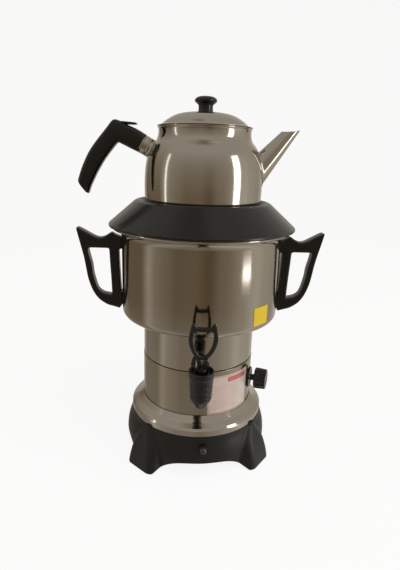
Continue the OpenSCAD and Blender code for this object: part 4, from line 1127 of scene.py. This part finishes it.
class SAMOVAR_OT_tap(bpy.types.Operator):
    """Tap: a turned barrel with three rings, its shank, and the lever's leaning loop"""

    bl_idname = "samovar.tap"
    bl_label = "Tap"

    def execute(self, context):
        f = context.scene.samovar_fittings
        z, r = f.tap_height / MM, f.barrel / MM
        tip = z - 38
        barrel = spun([
            (3.5, tip, 0.4), (6.4, tip, 0.6), (7.2, tip + 1.5, 0.8), (12.4, tip + 9.5, 1.5),
            (13.5, tip + 12.5, 1.5), (13.7, tip + 16, 0.5), (13, tip + 16.8, 0.3), (13, tip + 17.6, 0.3),
            (13.9, tip + 18.4, 0.5), (14.1, tip + 22.8, 0.5), (13.4, tip + 23.6, 0.3),
            (13.4, tip + 24.4, 0.3), (14.3, tip + 25.2, 0.5), (14.5, tip + 29.6, 0.5),
            (13.8, tip + 30.4, 0.3), (13.8, tip + 31.2, 0.3), (14.8, tip + 32, 0.6), (r - 1, z + 2.5, 0.6),
            (r, z + 4, 0.6), (r, z + 11.5, 1.1), (r - 2.7, z + 11.5, 1.1), (r - 2.7, z + 4.5, 0.4),
            (6.5, z + 4.5, 0.3), (6.5, z - 8.5, 0.3), (3.5, z - 8.5, 0.3),
        ], 128, steps=5, hold=0.2)
        barrel.grid = barrel.grid + np.array([0, -f.tap_out, 0])
        out = f.tap_out / MM
        shank = spun([
            (3, 66.5, 0.2), (6, 66.5, 0.6), (6, 81.5, 0), (12, 81.5, 0.3), (12, 84.5, 1.0), (9, 85.5, 1.2),
            (9, out - 11, 0.5), (6.2, out - 10, 0.5), (6.2, out - 5, 0), (3, out - 5, 0),
        ], 96)
        shank = placed(shank, np.array([0, 0, f.tap_height]), np.array([0, -1.0, 0]))
        add_piece("tap_barrel", [barrel, shank], "samovar", "black_bakelite", "tap_body")

        # lever: a leaning loop, given by its right half, over two cheeks with the pivot's hole
        half = np.array([
            (2.2, 2.6), (4.5, 3.4), (7.6, 5.4), (10.4, 9), (13.2, 14.5), (16.2, 23), (17.8, 33.3),
            (15.8, 45.5), (14.1, 55.2), (11, 55.6), (9.3, 50.8), (3.5, 50),
        ])
        gap = np.array([
            (0.8, 6.7), (2.2, 7), (4.2, 8.4), (6.2, 11), (8.2, 15), (10.8, 23.4), (12.1, 33.3), (11.3, 42.8),
            (10.6, 44.6), (9.2, 45), (7, 44.9), (2.6, 44.6),
        ])
        outer, inner = (smooth_line(np.vstack([q, q[::-1] * (-1, 1)]), 8, True) for q in (half, gap))
        grid, mark = loop_plate(outer, inner, 2.0, 1.1)
        c, s = math.cos(f.lever_lean), math.sin(f.lever_lean)
        pivot = np.array([0, -f.pivot_out, f.pivot_height])
        x, up, thick = grid[:, :, 0], grid[:, :, 1], grid[:, :, 2]
        place = np.stack([x, -up * s + thick * c, up * c + thick * s], 2) * MM + pivot
        shells = [Shell(place, mark=mark)]
        cheek = np.array([
            (-3.2, 0), (-3.2, 2.4), (-1.5, 3.4), (2, 3.3), (5, 3.2), (7.9, 3.2), (8, 2.9), (8, 1.7),
            (7.6, 1.45), (5, 1.45), (4.0, 1.45), (3.6, 1.1), (3.6, 0), (3.6, -0.9), (4.0, -1.15), (5, -1.15),
            (7.6, -1.15), (8, -1.4), (8, -2.9), (7.9, -3.2), (5, -3.2), (0, -3.3), (-2, -3.0), (-3.2, -1.8),
        ])
        turn = np.linspace(math.pi, -math.pi, len(cheek), endpoint=False)
        hole = 1.3 * np.stack([np.cos(turn), np.sin(turn)], 1)
        for side in (-1, 1):
            grid, mark = loop_plate(cheek, hole, 1.0, 0.3, 4)
            place = np.stack([side * 2.8 + grid[:, :, 2], grid[:, :, 0], grid[:, :, 1]], 2) * MM + pivot
            shells.append(Shell(place, mark=mark))
        add_piece("lever_loop", shells, "lever", "black_bakelite", "tap_lever")
        return {"FINISHED"}


class SAMOVAR_OT_thermostat(bpy.types.Operator):
    """Thermostat's dial: a fluted grip on a hub, over a turned bezel"""

    bl_idname = "samovar.thermostat"
    bl_label = "Thermostat"

    def execute(self, context):
        f, b = context.scene.samovar_fittings, context.scene.samovar_base
        out = np.array([math.sin(f.dial_azimuth), -math.cos(f.dial_azimuth), 0])
        at = np.array([0, 0, f.dial_height])
        wall, r = b.housing_radius / MM, f.dial_radius / MM
        bezel = placed(spun([
            (5.3, wall - 3, 0), (r, wall - 3, 0), (r, wall + 2, 1.0), (r - 4.5, wall + 2, 0.5),
            (r - 5.1, wall + 1.5, 0.4), (5.3, wall + 1.5, 0.3),
        ], 96), at, out)
        # its back is pushed out to the housing's wall
        push = np.maximum(b.housing_radius - np.hypot(bezel.grid[:, :, 0], bezel.grid[:, :, 1]), 0)
        bezel.grid = bezel.grid + push[:, :, None] * out
        add_piece("dial_bezel", [bezel], "samovar", "black_bakelite", "thermostat_bezel")

        hub, grip = wall + 2.3, wall + 8.5
        line, edge = rounded([
            (3, hub, 0.2), (4.5, hub, 0.5), (4.5, grip - 1, 0.8), (6, grip, 0.8), (r - 0.4, grip, 1.2),
            (r, grip + 3, 1.0), (r - 0.8, grip + 16.6, 1.6), (r - 2.6, grip + 17, 0.8), (9, grip + 16.4, 1.5),
            (0, grip + 16.4, 0),
        ], closed=False)
        # the grip has flutes round its side and a pointer line on its face
        sides, flutes = 288, 18
        a = np.arange(sides) * TURN / sides
        radii, level = line[:, :1], line[:, 1:]
        lobes = np.clip(np.cos(a * flutes) * 0.5 + 0.5, 0, 1) ** 1.6
        depth = np.interp(level, [grip + 1.2, grip + 3.5, grip + 14.8, grip + 16.8], [0, 1, 1, 0])
        depth = np.where(radii > r - 4, depth, 0) * 1.1
        rr = radii - depth * (1 - lobes)
        pointer = np.exp(-((a - math.pi / 2) / 0.11) ** 2) * np.clip((radii - 3) / 2, 0, 1)
        face = level > grip + 16.2
        h = level - 0.6 * pointer * face * (radii < r - 3)
        grid = np.stack([rr * np.cos(a), rr * np.sin(a), h + 0 * a], 2) * MM
        grid = np.concatenate([np.zeros((1, sides, 3)) + np.array([0, 0, hub * MM]), grid])
        knob = placed(Shell(grid, (False, True), (True, True), np.concatenate([[0], edge])), at, out)
        add_piece("dial_knob", [knob], "thermostat_dial", "black_bakelite", "thermostat_knob")
        return {"FINISHED"}


# --- stage --------------------------------------------------------------------------------------------


class SAMOVAR_OT_stage(bpy.types.Operator):
    """Studio: a pale sweep, soft lamps and the camera"""

    bl_idname = "samovar.stage"
    bl_label = "Stage"

    def execute(self, context):
        s = context.scene.samovar_stage
        line = smooth_line([(-2.4, 0), (1.2, 0), (2.6, 0), (3.2, 0.7), (3.2, 2.1)], 16)
        width = np.linspace(-3.2, 3.2, 24)
        grid = np.stack([width + 0 * line[:, :1], line[:, :1] + 0 * width, line[:, 1:] + 0 * width], 2)
        mesh = build_mesh("sweep", [Shell(grid, (False, False))])
        sweep = bpy.data.objects.new("sweep", mesh)
        context.scene.collection.objects.link(sweep)
        self.sweep_finish(mesh)
        self.lamps(context)
        self.surround(context, s)
        self.camera(context, s)
        context.scene.view_settings.view_transform = "Standard"
        return {"FINISHED"}

    def sweep_finish(self, mesh):
        """Pale paint that keeps the soft shadow, and is white to the camera and to polished metal.

        The camera sees it round the object, where it fades into the white surroundings. The other rays see a
        faint round table, and a backdrop whose half width grows with its distance; polished metal sees little
        of the backdrop, so that the steel keeps its warm tone.
        """
        material = bpy.data.materials.new("sweep_paint")
        material.use_nodes = True
        n = Nodes(material.node_tree)
        n.tree.nodes.clear()
        path = n.node("ShaderNodeLightPath").outputs
        paint = n.node("ShaderNodeBsdfDiffuse", {"Color": (0.9, 0.9, 0.89, 1)}).outputs[0]
        glow = n.node("ShaderNodeEmission", {"Color": (1, 1, 1, 1), "Strength": 1.0}).outputs[0]
        seen = n.math("MAXIMUM", path["Is Camera Ray"], path["Is Glossy Ray"])
        seen = n.math("MAXIMUM", seen, path["Is Transmission Ray"])
        both = n.node("ShaderNodeMixShader", {0: n.math("MULTIPLY", seen, 0.9), 1: paint, 2: glow}).outputs[0]

        place = n.node("ShaderNodeTexCoord").outputs["Object"]
        x, y, z = n.node("ShaderNodeSeparateXYZ", {0: place}).outputs
        flat = n.node("ShaderNodeCombineXYZ", {"X": x, "Y": y}).outputs[0]
        far = n.node("ShaderNodeVectorMath", {0: flat}, operation="LENGTH").outputs["Value"]
        table = n.stretch(far, 0.8, 0.45, stop=0.12, soft=True)
        beside = n.math("SUBTRACT", n.math("ABSOLUTE", x), n.math("MULTIPLY_ADD", y, 0.5, 0.34))
        behind = n.stretch(beside, 0.14, 0.03, soft=True)
        below_top, past_front = n.stretch(z, 1.95, 1.78, soft=True), n.stretch(y, -0.31, -0.255, soft=True)
        kept = n.math("MULTIPLY_ADD", path["Is Glossy Ray"], -0.85, 1.0)
        for share_kept in (below_top, past_front, kept):
            behind = n.math("MULTIPLY", behind, share_kept)
        floor = n.math("MULTIPLY", n.stretch(far, 1.4, 0.7, soft=True), path["Is Camera Ray"])
        mask = n.math("MAXIMUM", n.math("MAXIMUM", table, behind), floor)
        clear = n.node("ShaderNodeBsdfTransparent").outputs[0]
        fade = n.node("ShaderNodeMixShader", {0: mask, 1: clear, 2: both}).outputs[0]
        n.node("ShaderNodeOutputMaterial", {"Surface": fade})
        mesh.materials.append(material)

    def lamps(self, context):
        """Soft boxes: a tall one at the right, a thin weak one at the left and a broad one overhead."""
        boxes = (
            # name, watts, width and height, place, height it is aimed at, whether metal mirrors it
            ("right_box", 9, (0.5, 1.8), (1.79, -0.9, 0.6), 0.25, True),
            ("left_box", 0.95, (0.12, 1.5), (-1.85, -0.42, 0.6), 0.25, True),
            ("top_box", 22, (1.6, 1.6), (0.7, -1.0, 2.0), 0.2, False),
        )
        for name, power, size, place, aim, mirrored in boxes:
            lamp = bpy.data.lights.new(name, "AREA")
            lamp.shape = "RECTANGLE"
            lamp.size, lamp.size_y = size
            lamp.energy = power
            box = bpy.data.objects.new(name, lamp)
            context.scene.collection.objects.link(box)
            box.visible_glossy = mirrored
            box.location = place
            away = np.array(place) - np.array([0, 0, aim])
            box.rotation_euler = Vector(away).to_track_quat("Z", "Y").to_euler()

    def surround(self, context, s):
        """The studio round the object: white to the camera, and a warm room to everything else.

        The room's level is a share between the dim and the bright colour, which depends on the azimuth alone,
        and a paler ceiling is mixed in with the height.
        """
        world = bpy.data.worlds.new("studio")
        context.scene.world = world
        world.use_nodes = True
        n = Nodes(world.node_tree)
        n.tree.nodes.clear()
        way = n.node("ShaderNodeTexCoord").outputs["Generated"]
        x, y, z = n.node("ShaderNodeSeparateXYZ", {0: way}).outputs
        azimuth = n.math("ARCTAN2", x, n.math("MULTIPLY", y, -1.0))
        room = n.node("ShaderNodeValToRGB", {0: n.stretch(azimuth, -math.pi, math.pi)})
        room.color_ramp.interpolation = "EASE"
        stops = (
            (-155, 0.3), (-140, -0.1), (-120, 0.0), (-95, 0.0), (-80, 0.5), (-66, 0.22), (-52, 0.12),
            (-34, 0.0), (-10, 0.02), (9, -0.08), (30, 0.12), (60, 0.4), (85, 0.8), (102, 0.6), (130, 0.42),
            (145, 0.6), (155, 0.6),
        )
        dots = room.color_ramp.elements
        for k, (degrees, level) in enumerate(stops):
            dot = dots[k] if k < 2 else dots.new(1.0)
            dot.position = degrees / 360 + 0.5
            dot.color = [max(a + (b - a) * level, 0.02) for a, b in zip(s.dim, s.bright)] + [1.0]
        rise = n.math("MULTIPLY", n.stretch(z, -0.15, 0.7), n.stretch(z, 0.99, 0.93, start=0.15))
        room = n.mix(rise, room.outputs[0], rgba(s.bright, 0.62))
        eye = n.node("ShaderNodeLightPath").outputs["Is Camera Ray"]
        seen = n.mix(eye, room, (0.94, 0.94, 0.935, 1.0))
        back = n.node("ShaderNodeBackground", {"Color": seen, "Strength": 1.0}).outputs[0]
        n.node("ShaderNodeOutputWorld", {"Surface": back})

    def camera(self, context, s):
        """Camera on a circle round the axis, looking level at it, then pitched down and rolled."""
        data = bpy.data.cameras.new("camera")
        data.lens = s.lens
        data.sensor_width = 36.0
        camera = bpy.data.objects.new("camera", data)
        context.scene.collection.objects.link(camera)
        camera.location = (
            s.distance * math.sin(s.azimuth), -s.distance * math.cos(s.azimuth), s.height,
        )
        ahead = s.azimuth + s.aim
        look = Vector((-math.sin(ahead), math.cos(ahead), -math.tan(s.pitch)))
        turn = look.to_track_quat("-Z", "Y")
        roll = Matrix.Rotation(s.roll, 4, "Z")
        camera.rotation_mode = "QUATERNION"
        camera.rotation_quaternion = (turn.to_matrix().to_4x4() @ roll).to_quaternion()
        context.scene.camera = camera


class SAMOVAR_PT_panel(bpy.types.Panel):
    """Lists the samovar's sizes, colours and operators"""

    bl_idname = "SAMOVAR_PT_panel"
    bl_label = "Samovar"
    bl_space_type = "VIEW_3D"
    bl_region_type = "UI"
    bl_category = "Samovar"

    def draw(self, context):
        for key in GROUPS:
            box = self.layout.box()
            group = getattr(context.scene, key)
            for name in group.__annotations__:
                box.prop(group, name)
        for operator in OPERATORS:
            self.layout.operator(operator.bl_idname)


GROUPS = {
    "samovar_base": SamovarBase,
    "samovar_tank": SamovarTank,
    "samovar_teapot": SamovarTeapot,
    "samovar_fittings": SamovarFittings,
    "samovar_colours": SamovarColours,
    "samovar_stage": SamovarStage,
}
OPERATORS = (
    SAMOVAR_OT_finishes,
    SAMOVAR_OT_base,
    SAMOVAR_OT_housing,
    SAMOVAR_OT_tank,
    SAMOVAR_OT_side_handles,
    SAMOVAR_OT_cover,
    SAMOVAR_OT_teapot,
    SAMOVAR_OT_tap,
    SAMOVAR_OT_thermostat,
    SAMOVAR_OT_stage,
)


def register():
    """Registers the classes and puts the property groups on the scene."""
    for key, group in GROUPS.items():
        bpy.utils.register_class(group)
        setattr(bpy.types.Scene, key, bpy.props.PointerProperty(type=group))
    for kind in (*OPERATORS, SAMOVAR_PT_panel):
        bpy.utils.register_class(kind)


def unregister():
    """Takes the classes and the property groups away again."""
    for kind in (SAMOVAR_PT_panel, *reversed(OPERATORS)):
        bpy.utils.unregister_class(kind)
    for key, group in reversed(list(GROUPS.items())):
        delattr(bpy.types.Scene, key)
        bpy.utils.unregister_class(group)


def main():
    """Builds everything in order."""
    register()
    for operator in OPERATORS:
        family, name = operator.bl_idname.split(".")
        if getattr(getattr(bpy.ops, family), name)() != {"FINISHED"}:
            raise RuntimeError(f"{operator.bl_idname} did not finish")


if __name__ == "__main__":
    main()
